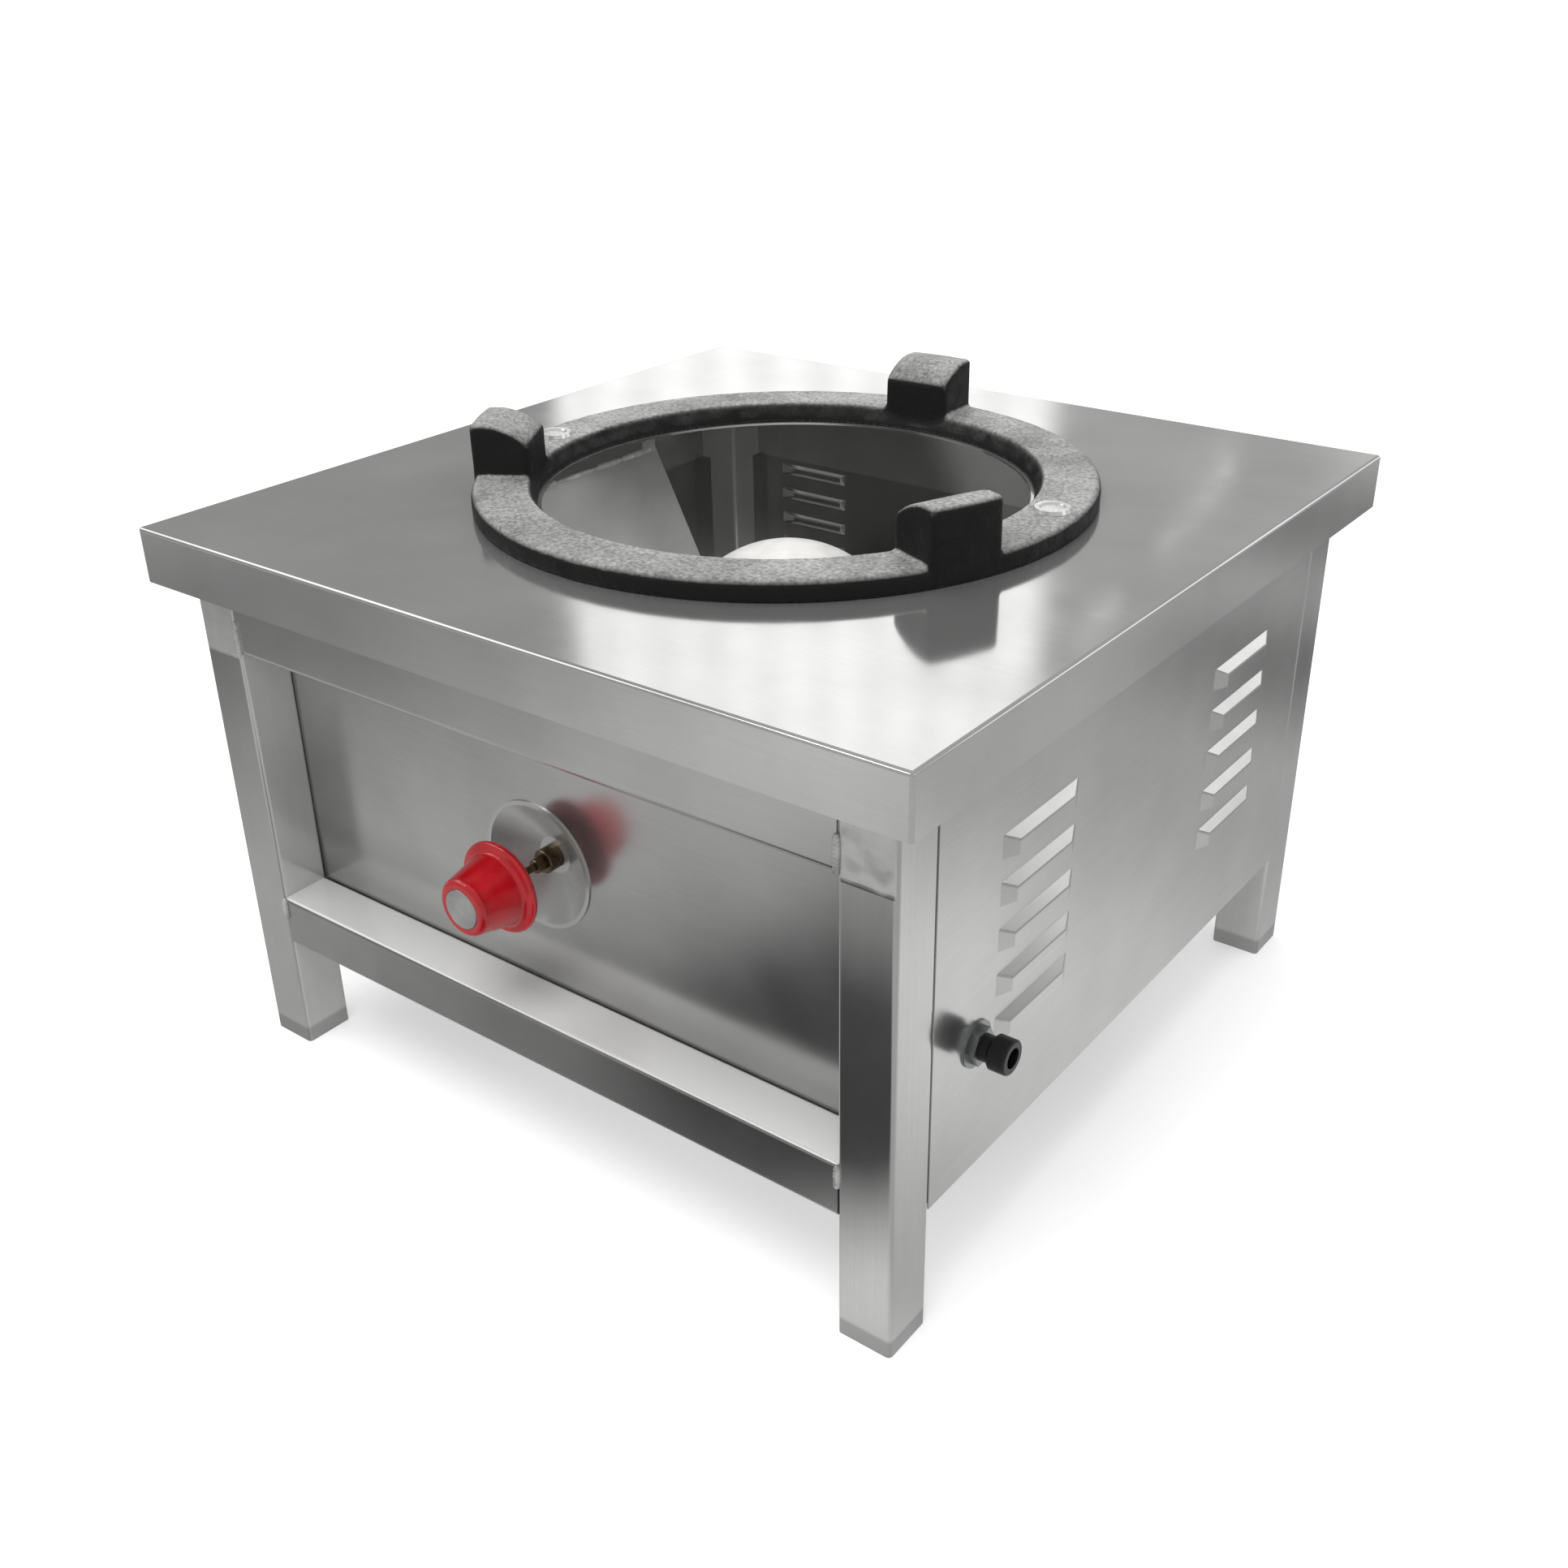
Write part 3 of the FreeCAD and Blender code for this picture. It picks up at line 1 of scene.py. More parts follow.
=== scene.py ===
"""Looks of the stock pot range: a low square stainless table with one burner under a cast pan ring.

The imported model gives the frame: every piece is in metres, with the origin on the floor under the middle of
the deck, +X to the right along the knob side, +Y to the back and +Z up. This script dresses each node in the
finish of the real metal, replaces the pieces whose surface needs more than the frame holds, adds the welds,
and sets the camera, the floor and the studio.
"""

import logging
import math
import random
from dataclasses import dataclass
from enum import Enum

import bmesh
import bpy
from bpy.types import Material, Mesh, Node, Object
from bpy.types import NodeSocket as Socket
from bpy.types import NodeTree as Tree
from mathutils import Matrix, Vector, noise

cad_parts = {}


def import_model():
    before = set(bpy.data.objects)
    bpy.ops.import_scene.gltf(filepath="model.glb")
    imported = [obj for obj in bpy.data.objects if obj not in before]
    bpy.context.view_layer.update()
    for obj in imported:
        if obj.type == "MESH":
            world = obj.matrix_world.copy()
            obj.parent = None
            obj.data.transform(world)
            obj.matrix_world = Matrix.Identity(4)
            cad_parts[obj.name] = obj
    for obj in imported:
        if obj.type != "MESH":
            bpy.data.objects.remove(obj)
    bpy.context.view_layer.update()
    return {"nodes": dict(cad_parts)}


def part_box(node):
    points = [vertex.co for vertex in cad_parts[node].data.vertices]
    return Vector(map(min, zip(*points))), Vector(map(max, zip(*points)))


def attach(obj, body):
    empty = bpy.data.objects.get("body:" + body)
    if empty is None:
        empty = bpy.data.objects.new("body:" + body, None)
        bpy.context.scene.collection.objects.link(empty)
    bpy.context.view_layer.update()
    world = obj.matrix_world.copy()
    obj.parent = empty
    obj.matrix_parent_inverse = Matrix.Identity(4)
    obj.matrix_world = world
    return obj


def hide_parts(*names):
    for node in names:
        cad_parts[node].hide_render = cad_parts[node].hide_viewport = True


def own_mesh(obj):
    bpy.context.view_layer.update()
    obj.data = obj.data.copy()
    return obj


LOG = logging.getLogger("stock_pot_range")
MM = 0.001
PHOTO_PIXELS = 1932
WHITE = (1.0, 1.0, 1.0, 1.0)
NOISE_LOW, NOISE_HIGH = 0.3, 0.7  # a noise pattern seldom leaves this range
SOFT_EDGE = 3 * MM


# --- Colours and node trees ---
def linear(code: str) -> tuple[float, float, float, float]:
    """Turns an sRGB hex code into the linear colour that shaders take.

    Args:
        code: Six hex digits, such as "a0a0a0".

    Returns:
        Red, green, blue and an alpha of 1, linear.
    """
    shares = [int(code[k : k + 2], 16) / 255 for k in (0, 2, 4)]
    toe, knee, power = 12.92, 0.04045, 2.4
    values = [s / toe if s <= knee else ((s + 0.055) / 1.055) ** power for s in shares]
    return (values[0], values[1], values[2], 1.0)


def per_metre(size_mm: float) -> float:
    """Gives the texture scale that draws one feature every size_mm millimetres."""
    return 1.0 / (size_mm * MM)


def set_inputs(tree: Tree, node: Node, inputs: dict) -> None:
    """Sets a node's inputs.

    Args:
        tree: The node's tree.
        node: The node.
        inputs: For each input, by name or place, a value or the output socket that feeds it.
    """
    for name, value in inputs.items():
        if isinstance(value, Socket):
            tree.links.new(value, node.inputs[name])
        else:
            node.inputs[name].default_value = value


def add_node(tree: Tree, kind: str, inputs: dict | None = None, **settings: object) -> Node:
    """Adds one shader node with its settings and links.

    Args:
        tree: The node tree that gets the node.
        kind: Blender's name for the kind of node, without the ShaderNode before it.
        inputs: What set_inputs takes.
        settings: Attributes of the node by name.

    Returns:
        The new node.
    """
    node = tree.nodes.new("ShaderNode" + kind)
    for name, value in settings.items():
        setattr(node, name, value)
    set_inputs(tree, node, inputs or {})
    return node


def blank_material(name: str) -> Material:
    """Makes a material whose node tree is empty."""
    material = bpy.data.materials.new(name)
    material.use_nodes = True
    material.node_tree.nodes.clear()
    return material


class Axis(Enum):
    """A direction of the frame, such as the one in which a belt ran over the metal."""

    X = 0
    Y = 1
    Z = 2


# --- Finishes ---
@dataclass(frozen=True)
class Finish:
    """What every finish shares: a name, one Principled shader and the patterns that feed it."""

    name: str

    def build(self) -> Material:
        """Makes the material.

        Returns:
            The material, ready to assign.
        """
        material = blank_material(self.name)
        tree = material.node_tree
        shader = add_node(tree, "BsdfPrincipled")
        add_node(tree, "OutputMaterial", {"Surface": shader.outputs["BSDF"]})
        self.shade(tree, shader)
        return material

    def shade(self, tree: Tree, shader: Node) -> None:
        """Sets the shader's sockets; each finish has its own way."""
        raise NotImplementedError

    def place(self, tree: Tree, scale: tuple[float, float, float]) -> Socket:
        """Gives the piece's own coordinates in metres, scaled.

        Args:
            tree: The material's tree.
            scale: Features per metre along X, Y and Z.

        Returns:
            The scaled vector's socket.
        """
        coordinates = add_node(tree, "TexCoord")
        mapping = add_node(tree, "Mapping", {"Vector": coordinates.outputs["Object"], "Scale": scale})
        return mapping.outputs["Vector"]

    def along(self, tree: Tree, axis: Axis) -> Socket:
        """Gives the place along one axis, in metres."""
        coordinates = add_node(tree, "TexCoord")
        parts = add_node(tree, "SeparateXYZ", {"Vector": coordinates.outputs["Object"]})
        return parts.outputs[axis.name]

    def facing_up(self, tree: Tree, low: float, high: float, most: float = 1.0) -> Socket:
        """Gives 0 on flanks and more on faces that look up.

        Args:
            tree: The material's tree.
            low: The normal's Z at which it starts.
            high: The normal's Z at which it is full.
            most: The value on a level face.

        Returns:
            The value's socket.
        """
        geometry = add_node(tree, "NewGeometry")
        parts = add_node(tree, "SeparateXYZ", {"Vector": geometry.outputs["Normal"]})
        inputs = {"Value": parts.outputs["Z"], "From Min": low, "From Max": high, "To Max": most}
        up = add_node(tree, "MapRange", inputs)
        return up.outputs["Result"]

    def cloud(
        self, tree: Tree, size_mm: float, detail: float, low: float = 0.0, high: float = 1.0
    ) -> Socket:
        """Gives soft blotches between two values.

        Args:
            tree: The material's tree.
            size_mm: How far apart the blotches are.
            detail: Octaves of finer blotches.
            low: The value in a hollow of the pattern.
            high: The value on a peak of the pattern.

        Returns:
            The value's socket.
        """
        scale = per_metre(size_mm)
        inputs = {"Vector": self.place(tree, (scale, scale, scale)), "Scale": 1.0, "Detail": detail}
        blotches = add_node(tree, "TexNoise", inputs)
        span = {"From Min": NOISE_LOW, "From Max": NOISE_HIGH, "To Min": low, "To Max": high}
        spread = add_node(tree, "MapRange", {"Value": blotches.outputs["Fac"], **span})
        return spread.outputs["Result"]

    def mottled(self, tree: Tree, share: Socket, first: str, second: str) -> Socket:
        """Mixes two tones.

        Args:
            tree: The material's tree.
            share: How much of the second tone there is.
            first: The hex code where the share is 0.
            second: The hex code where it is 1.

        Returns:
            The colour's socket.
        """
        tone = add_node(tree, "MixRGB", {"Fac": share, "Color1": linear(first), "Color2": linear(second)})
        return tone.outputs["Color"]


@dataclass(frozen=True)
class BeltedStainless(Finish):
    """Stainless steel, cold rolled and finished with a fine belt, as catering sheet and tube are.

    The belt leaves fine lines along one way, which spread reflections across them. Rolling and folding leave
    the sheet faintly wavy, so what it mirrors bends a little. The fine scratches and a film of handling
    scatter part of the light evenly, so even what mirrors something black stays grey. Faces that look into
    the range get a darker tone, painted shade, and on some pieces they mirror less.
    """

    belt: Axis = Axis.X
    tone: str = "cfcfce"
    shade_tone: str = "c3c3c2"
    patch_mm: float = 90.0
    roughness: float = 0.2
    cloudiness: float = 0.03
    haze_mm: float = 60.0
    scatter: float = 0.06  # share of the light that isn't mirrored
    inside: float = 1.0  # how much of its tone a face keeps that looks into the range; the rest is painted shade
    inside_metal: float = 1.0  # how much of its mirror such a face keeps
    line_mm: float = 0.9  # real belt lines are about 0.1 mm apart, too fine to show
    line_stretch: float = 90.0
    line_height_mm: float = 0.0012
    line_shade: float = 0.96
    wave_mm: float = 170.0
    wave_stretch: float = 1.0
    wave_height_mm: float = 1.2
    ground_low: float = 0.0
    ground_high: float = 0.0  # a grinder dressed the welds between these two heights, in metres
    ground_front: float = -0.2835  # on the faces in front of this depth
    dab_mm: float = 16.0
    dab_height_mm: float = 0.7
    dab_haze: float = 0.1
    dab_metal: float = 0.62
    foot_shade: float = 0.0  # height of the band of painted shade at the foot, in metres
    foot_shade_edge: float = SOFT_EDGE  # over which that painted shade fades out
    foot_shade_share: float = 0.66
    rim_shade: float = 0.0  # painted shade darkens the steel within this radius, in metres
    rim_shade_edge: float = 6 * MM
    rim_shade_share: float = 0.12
    lit_top_scatter: float = 0.0  # share of the light that faces looking up scatter, painted light that makes the top paler
    lit_top_tone: str = "dcdcdb"
    lit_top_low: float = 0.6
    lit_top_high: float = 0.9

    def shade(self, tree: Tree, shader: Node) -> None:
        """Sets steel with belt lines, waves and cloudy patches, the grinder's dabs, and the painted shade and
        light that the piece has.
        """
        lines = self.stretched_noise(tree, self.line_mm, self.line_stretch, 2.0)
        swell = self.stretched_noise(tree, self.wave_mm, self.wave_stretch, 0.0)
        inputs = {"Value": lines, "From Min": NOISE_LOW, "From Max": NOISE_HIGH, "To Min": self.line_shade}
        streak = add_node(tree, "MapRange", inputs)
        colour = self.mottled(tree, self.cloud(tree, self.patch_mm, 4.0), self.shade_tone, self.tone)
        colour = self.dimmed(tree, colour, streak.outputs["Result"])
        # painted shade on the faces that look into the range
        if self.inside < 1.0:
            colour = self.dimmed(tree, colour, self.inward(tree, self.inside))
        # painted shade at the foot
        if self.foot_shade:
            foot_shading = self.window(tree, -1.0, self.foot_shade, 1.0, self.foot_shade_share, self.foot_shade_edge)
            colour = self.dimmed(tree, colour, foot_shading)
        # painted shade round the opening
        if self.rim_shade:
            colour = self.dimmed(tree, colour, self.rim_shading(tree))
        clear, hazy = self.roughness - self.cloudiness, self.roughness + self.cloudiness
        haze = self.cloud(tree, self.haze_mm, 4.0, clear, hazy)
        waves = add_node(tree, "Bump", {"Height": swell, "Distance": self.wave_height_mm * MM})
        normal = waves.outputs["Normal"]
        metal = 1.0 - self.scatter
        if self.ground_high:
            normal, haze, metal = self.dabbed(tree, normal, haze)
        # painted light on the faces that look up
        if self.lit_top_scatter:
            colour, metal = self.lit_from_above(tree, colour)
        grooves = add_node(
            tree, "Bump", {"Height": lines, "Distance": self.line_height_mm * MM, "Normal": normal}
        )
        look = {"Base Color": colour, "Roughness": haze, "Normal": grooves.outputs["Normal"]}
        set_inputs(tree, shader, {**look, "Metallic": metal})

    def stretched_noise(self, tree: Tree, size_mm: float, stretch: float, detail: float) -> Socket:
        """Gives noise drawn out along the belt.

        Args:
            tree: The material's tree.
            size_mm: How far apart its features are across the belt.
            stretch: How many times longer they are along it.
            detail: Octaves of finer features.

        Returns:
            The noise's socket.
        """
        across = per_metre(size_mm)
        scale = [across, across, across]
        scale[self.belt.value] = across / stretch
        pattern = add_node(
            tree, "TexNoise", {"Vector": self.place(tree, tuple(scale)), "Scale": 1.0, "Detail": detail}
        )
        return pattern.outputs["Fac"]

    def dimmed(self, tree: Tree, colour: Socket, share: Socket) -> Socket:
        """Gives only a share of a colour or value.

        Args:
            tree: The material's tree.
            colour: The colour or value.
            share: How much of it stays.

        Returns:
            The dimmed colour's socket.
        """
        mixed = add_node(
            tree, "MixRGB", {"Fac": 1.0, "Color1": colour, "Color2": share}, blend_type="MULTIPLY"
        )
        return mixed.outputs["Color"]

    def inward(self, tree: Tree, kept: float) -> Socket:
        """Gives 1 on faces that look away from the range's middle.

        Args:
            tree: The material's tree.
            kept: The share on the faces that look towards it.

        Returns:
            The share's socket.
        """
        geometry = add_node(tree, "NewGeometry")
        coordinates = add_node(tree, "TexCoord")
        inputs = {0: geometry.outputs["Normal"], 1: coordinates.outputs["Object"]}
        outward = add_node(tree, "VectorMath", inputs, operation="DOT_PRODUCT")
        inputs = {"Value": outward.outputs["Value"], "From Min": -0.05, "From Max": 0.0, "To Min": kept}
        share = add_node(tree, "MapRange", inputs)
        return share.outputs["Result"]

    def window(
        self, tree: Tree, low: float, high: float, outside: float, within: float, edge: float = SOFT_EDGE
    ) -> Socket:
        """Gives one value between two heights and another above and below, with a soft edge.

        Args:
            tree: The material's tree.
            low: The lower height, in metres.
            high: The upper height.
            outside: The value above and below.
            within: The value between them.
            edge: The width of the soft edge, inside the two heights.

        Returns:
            The value's socket.
        """
        away = add_node(
            tree, "Math", {0: self.along(tree, Axis.Z), 1: (low + high) / 2}, operation="SUBTRACT"
        )
        size = add_node(tree, "Math", {0: away.outputs["Value"]}, operation="ABSOLUTE")
        half = (high - low) / 2
        span = {"From Min": half - edge, "From Max": half, "To Min": within, "To Max": outside}
        share = add_node(tree, "MapRange", {"Value": size.outputs["Value"], **span})
        return share.outputs["Result"]

    def rim_shading(self, tree: Tree) -> Socket:
        """Gives 1 away from the opening and less near it: painted shade round the rim."""
        coordinates = add_node(tree, "TexCoord")
        level = add_node(
            tree, "VectorMath", {0: coordinates.outputs["Object"], 1: (1.0, 1.0, 0.0)}, operation="MULTIPLY"
        )
        away = add_node(tree, "VectorMath", {0: level.outputs["Vector"]}, operation="LENGTH")
        share = add_node(
            tree,
            "MapRange",
            {
                "Value": away.outputs["Value"],
                "From Min": self.rim_shade - self.rim_shade_edge,
                "From Max": self.rim_shade,
                "To Min": self.rim_shade_share,
            },
        )
        return share.outputs["Result"]

    def lit_from_above(self, tree: Tree, colour: Socket) -> tuple[Socket, Socket]:
        """Makes the faces that look up paler and less of a mirror: painted light from above.

        Args:
            tree: The material's tree.
            colour: The colour so far.

        Returns:
            The new colour and the share of metal.
        """
        up = self.facing_up(tree, self.lit_top_low, self.lit_top_high)
        paler = add_node(tree, "MixRGB", {"Fac": up, "Color1": colour, "Color2": linear(self.lit_top_tone)})
        metal = add_node(
            tree, "MapRange", {"Value": up, "To Min": 1.0 - self.scatter, "To Max": 1.0 - self.lit_top_scatter}
        )
        return paler.outputs["Color"], metal.outputs["Result"]

    def dabbed(self, tree: Tree, normal: Socket, haze: Socket) -> tuple[Socket, Socket, Socket]:
        """Adds the matt, shallow dabs that a grinding disc leaves on the front, between the ground heights.

        Args:
            tree: The material's tree.
            normal: The normal so far.
            haze: The roughness so far.

        Returns:
            The new normal, the new roughness and the share of metal.
        """
        height = self.window(tree, self.ground_low, self.ground_high, 0.0, 1.0)
        front = add_node(
            tree, "Math", {0: self.along(tree, Axis.Y), 1: self.ground_front}, operation="LESS_THAN"
        )
        mask = add_node(tree, "Math", {0: height, 1: front.outputs["Value"]}, operation="MULTIPLY")
        inputs = {0: self.cloud(tree, self.dab_mm, 1.0), 1: mask.outputs["Value"]}
        dabs = add_node(tree, "Math", inputs, operation="MULTIPLY")
        inputs = {"Height": dabs.outputs["Value"], "Distance": self.dab_height_mm * MM, "Normal": normal}
        ground = add_node(tree, "Bump", inputs)
        matt = add_node(
            tree, "Math", {0: mask.outputs["Value"], 1: self.dab_haze, 2: haze}, operation="MULTIPLY_ADD"
        )
        inputs = {"Value": mask.outputs["Value"], "To Min": 1.0 - self.scatter, "To Max": self.dab_metal}
        metal = add_node(tree, "MapRange", inputs)
        kept = self.dimmed(tree, metal.outputs["Result"], self.inward(tree, self.inside_metal))
        return ground.outputs["Normal"], matt.outputs["Value"], kept


@dataclass(frozen=True)
class SandCastIron(Finish):
    """Grey cast iron as it leaves a sand mould, paler where pans and hands touch it from above: partly that
    rubbing, partly painted light.

    The sand leaves a grain that breaks up every highlight; flanks stay near black under their casting skin.
    """

    skin: str = "1f1f1f"
    # the pale tone on up-facing faces is partly painted light
    worn_lit: str = "c6c6c4"
    wear_and_light: float = 1.0
    worn_lit_low: float = 0.4
    worn_lit_high: float = 0.92
    patch_mm: float = 40.0
    patch_least: float = 0.55
    edge_low: float = 0.53
    edge_high: float = 0.60
    edge_wear: float = 0.45
    grain_mm: float = 2.6  # foundry sand is about 0.3 mm, too fine to show
    grain_height_mm: float = 0.22
    speckle_low: float = 0.5
    speckle_high: float = 1.25
    swell_mm: float = 9.0
    swell_height_mm: float = 0.25
    roughness: float = 0.55
    haze_mm: float = 15.0
    metallic: float = 0.55

    def shade(self, tree: Tree, shader: Node) -> None:
        """Sets iron whose edges are paler from rubbing, and whose up-facing parts are paler from rubbing and
        painted light.
        """
        grain = self.cloud(tree, self.grain_mm, 3.0)
        colour = self.mottled(tree, self.worn_lit_share(tree, grain), self.skin, self.worn_lit)
        inputs = {"Height": self.cloud(tree, self.swell_mm, 2.0), "Distance": self.swell_height_mm * MM}
        coarse = add_node(tree, "Bump", inputs)
        sand = add_node(
            tree,
            "Bump",
            {"Height": grain, "Distance": self.grain_height_mm * MM, "Normal": coarse.outputs["Normal"]},
        )
        haze = self.cloud(tree, self.haze_mm, 3.0, self.roughness - 0.08, self.roughness + 0.1)
        look = {"Base Color": colour, "Roughness": haze, "Normal": sand.outputs["Normal"]}
        set_inputs(tree, shader, {**look, "Metallic": self.metallic})

    def worn_lit_share(self, tree: Tree, grain: Socket) -> Socket:
        """Gives how much of the pale tone shows: skin taken off by rubbing, and painted light on faces that
        look up.

        Args:
            tree: The material's tree.
            grain: The sand's grain.

        Returns:
            The share's socket.
        """
        up = self.facing_up(tree, self.worn_lit_low, self.worn_lit_high, self.wear_and_light)
        geometry = add_node(tree, "NewGeometry")
        span = {"From Min": self.edge_low, "From Max": self.edge_high, "To Max": self.edge_wear}
        edge = add_node(tree, "MapRange", {"Value": geometry.outputs["Pointiness"], **span})
        inputs = {0: up, 1: self.cloud(tree, self.patch_mm, 5.0, self.patch_least)}
        patchy = add_node(tree, "Math", inputs, operation="MULTIPLY")
        reach = add_node(
            tree, "Math", {0: patchy.outputs["Value"], 1: edge.outputs["Result"]}, operation="MAXIMUM"
        )
        speckle = add_node(
            tree, "MapRange", {"Value": grain, "To Min": self.speckle_low, "To Max": self.speckle_high}
        )
        inputs = {0: reach.outputs["Value"], 1: speckle.outputs["Result"]}
        share = add_node(tree, "Math", inputs, operation="MULTIPLY", use_clamp=True)
        return share.outputs["Value"]


@dataclass(frozen=True)
class GrainedMetal(Finish):
    """Cast, plated, drawn or machined small metal parts: one tone, cloudy, with a fine grain."""

    tone: str = "9a9a9a"
    dull_tone: str = "7d7d7d"
    metallic: float = 1.0
    roughness: float = 0.35
    haze: float = 0.06
    grain_mm: float = 1.8
    grain_height_mm: float = 0.03
    patch_mm: float = 14.0

    def shade(self, tree: Tree, shader: Node) -> None:
        """Sets the metal with patches of its duller tone and a grain."""
        colour = self.mottled(tree, self.cloud(tree, self.patch_mm, 4.0), self.dull_tone, self.tone)
        inputs = {"Height": self.cloud(tree, self.grain_mm, 3.0), "Distance": self.grain_height_mm * MM}
        grain = add_node(tree, "Bump", inputs)
        clear, hazy = self.roughness - self.haze, self.roughness + self.haze
        haze = self.cloud(tree, self.patch_mm / 2, 3.0, clear, hazy)
        look = {"Base Color": colour, "Roughness": haze, "Normal": grain.outputs["Normal"]}
        set_inputs(tree, shader, {**look, "Metallic": self.metallic})


@dataclass(frozen=True)
class MouldedPhenolic(Finish):
    """Red phenolic resin moulded in a polished tool: deep, even colour under a hard gloss.

    The tool's faint ripple bends the highlights a little, and handling dulls it in small patches.
    """

    tone: str = "b5101b"
    dull_tone: str = "980d16"
    patch_mm: float = 18.0
    roughness: float = 0.16
    haze_mm: float = 9.0
    ripple_mm: float = 12.0
    ripple_height_mm: float = 0.05
    ior: float = 1.54
    gloss: float = 0.4
    gloss_roughness: float = 0.06

    def shade(self, tree: Tree, shader: Node) -> None:
        """Sets glossy resin with a faint ripple."""
        colour = self.mottled(tree, self.cloud(tree, self.patch_mm, 3.0), self.dull_tone, self.tone)
        inputs = {"Height": self.cloud(tree, self.ripple_mm, 1.0), "Distance": self.ripple_height_mm * MM}
        ripple = add_node(tree, "Bump", inputs)
        haze = self.cloud(tree, self.haze_mm, 3.0, self.roughness - 0.04, self.roughness + 0.08)
        look = {"Base Color": colour, "Roughness": haze, "Normal": ripple.outputs["Normal"]}
        coat = {"Coat Weight": self.gloss, "Coat Roughness": self.gloss_roughness}
        set_inputs(tree, shader, {**look, **coat, "IOR": self.ior})


# --- Meshes ---
def finished_mesh(name: str, shape: bmesh.types.BMesh) -> Mesh:
    """Turns a shape into a mesh and frees the shape."""
    mesh = bpy.data.meshes.new(name)
    shape.to_mesh(mesh)
    shape.free()
    return mesh


def ring_of_points(
    centre: Vector, across: Vector, beside: Vector, radius: float, sides: int
) -> list[Vector]:
    """Gives points evenly round a centre.

    Args:
        centre: The ring's middle.
        across: The unit vector to its first point.
        beside: The unit vector a quarter turn on.
        radius: Its radius.
        sides: How many points it has.

    Returns:
        The points.
    """
    turns = [2 * math.pi * side / sides for side in range(sides)]
    return [centre + (across * math.cos(turn) + beside * math.sin(turn)) * radius for turn in turns]


def tube_mesh(name: str, rings: list[list[Vector]]) -> Mesh:
    """Skins a closed, smooth tube over rings of points.

    Args:
        name: The mesh's name.
        rings: The rings, each with as many points, from one end to the other.

    Returns:
        The tube's mesh.
    """
    shape = bmesh.new()
    loops = [[shape.verts.new(point) for point in ring] for ring in rings]
    for near, far in zip(loops, loops[1:]):
        for side in range(len(near)):
            after = (side + 1) % len(near)
            shape.faces.new((near[side], near[after], far[after], far[side]))
    shape.faces.new(list(reversed(loops[0])))
    shape.faces.new(loops[-1])
    bmesh.ops.recalc_face_normals(shape, faces=shape.faces)
    for face in shape.faces:
        face.smooth = True
    return finished_mesh(name, shape)


def put(name: str, data: bpy.types.ID) -> Object:
    """Puts an object with this mesh, light or lens in the scene."""
    thing = bpy.data.objects.new(name, data)
    bpy.context.scene.collection.objects.link(thing)
    return thing


def add_piece(name: str, mesh: Mesh, body: str, slot: str, *replaced: str) -> Object:
    """Puts a mesh in the scene as a piece that rides on a body.

    Args:
        name: The piece's name.
        mesh: Its mesh, in the frame's coordinates.
        body: The CAD body that carries it.
        slot: Not used.
        replaced: The CAD nodes that it stands for.

    Returns:
        The new object.
    """
    piece = put(name, mesh)
    if replaced:
        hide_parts(*replaced)
    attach(piece, body)
    LOG.info("piece %s on %s: %d faces", name, body, len(mesh.polygons))
    return piece


def finish_node(node: Object, material: Material) -> None:
    """Gives every slot of a CAD node the material."""
    for slot in node.material_slots:
        slot.material = material
    LOG.info("dressed %s in %s", node.name, material.name)


@dataclass
class WeldBead:
    """A bead of weld metal along a straight joint, with its ripples."""

    start: Vector
    end: Vector
    radius: float
    seed: int
    ripple: float = 2.6 * MM
    steps_per_ripple: int = 5
    least_steps: int = 8
    valley: float = 0.82  # radius between two ripples, as a share
    wander: float = 0.15  # how far the bead strays from the joint, as a share of its radius
    sides: int = 10

    def mesh(self) -> Mesh:
        """Builds the bead as a closed tube whose radius swells at each ripple and tapers at its ends.

        Returns:
            The bead's mesh.
        """
        chance = random.Random(self.seed)
        along = self.end - self.start
        length = along.length
        across = along.orthogonal().normalized()
        beside = along.cross(across).normalized()
        steps = max(self.least_steps, int(length / (self.ripple / self.steps_per_ripple)))
        rings = []
        for k in range(steps + 1):
            share = k / steps
            taper = math.sqrt(max(0.02, 1 - (2 * share - 1) ** 6))
            ripples = abs(math.sin(math.pi * share * length / self.ripple))
            swell = self.valley + (1 - self.valley) * ripples
            aside = self.wander * self.radius * (chance.random() - 0.5)
            centre = self.start + along * share + across * aside
            rings.append(ring_of_points(centre, across, beside, self.radius * taper * swell, self.sides))
        return tube_mesh("weld_bead", rings)


# --- Sub-assemblies ---
@dataclass
class SubAssembly:
    """A group of pieces that are built and dressed together."""

    nodes: dict[str, Object]

    def dress(self, names: list[str], finish: Finish) -> None:
        """Dresses CAD nodes in one finish.

        Args:
            names: The nodes.
            finish: The finish they share.
        """
        material = finish.build()
        for name in names:
            finish_node(self.nodes[name], material)


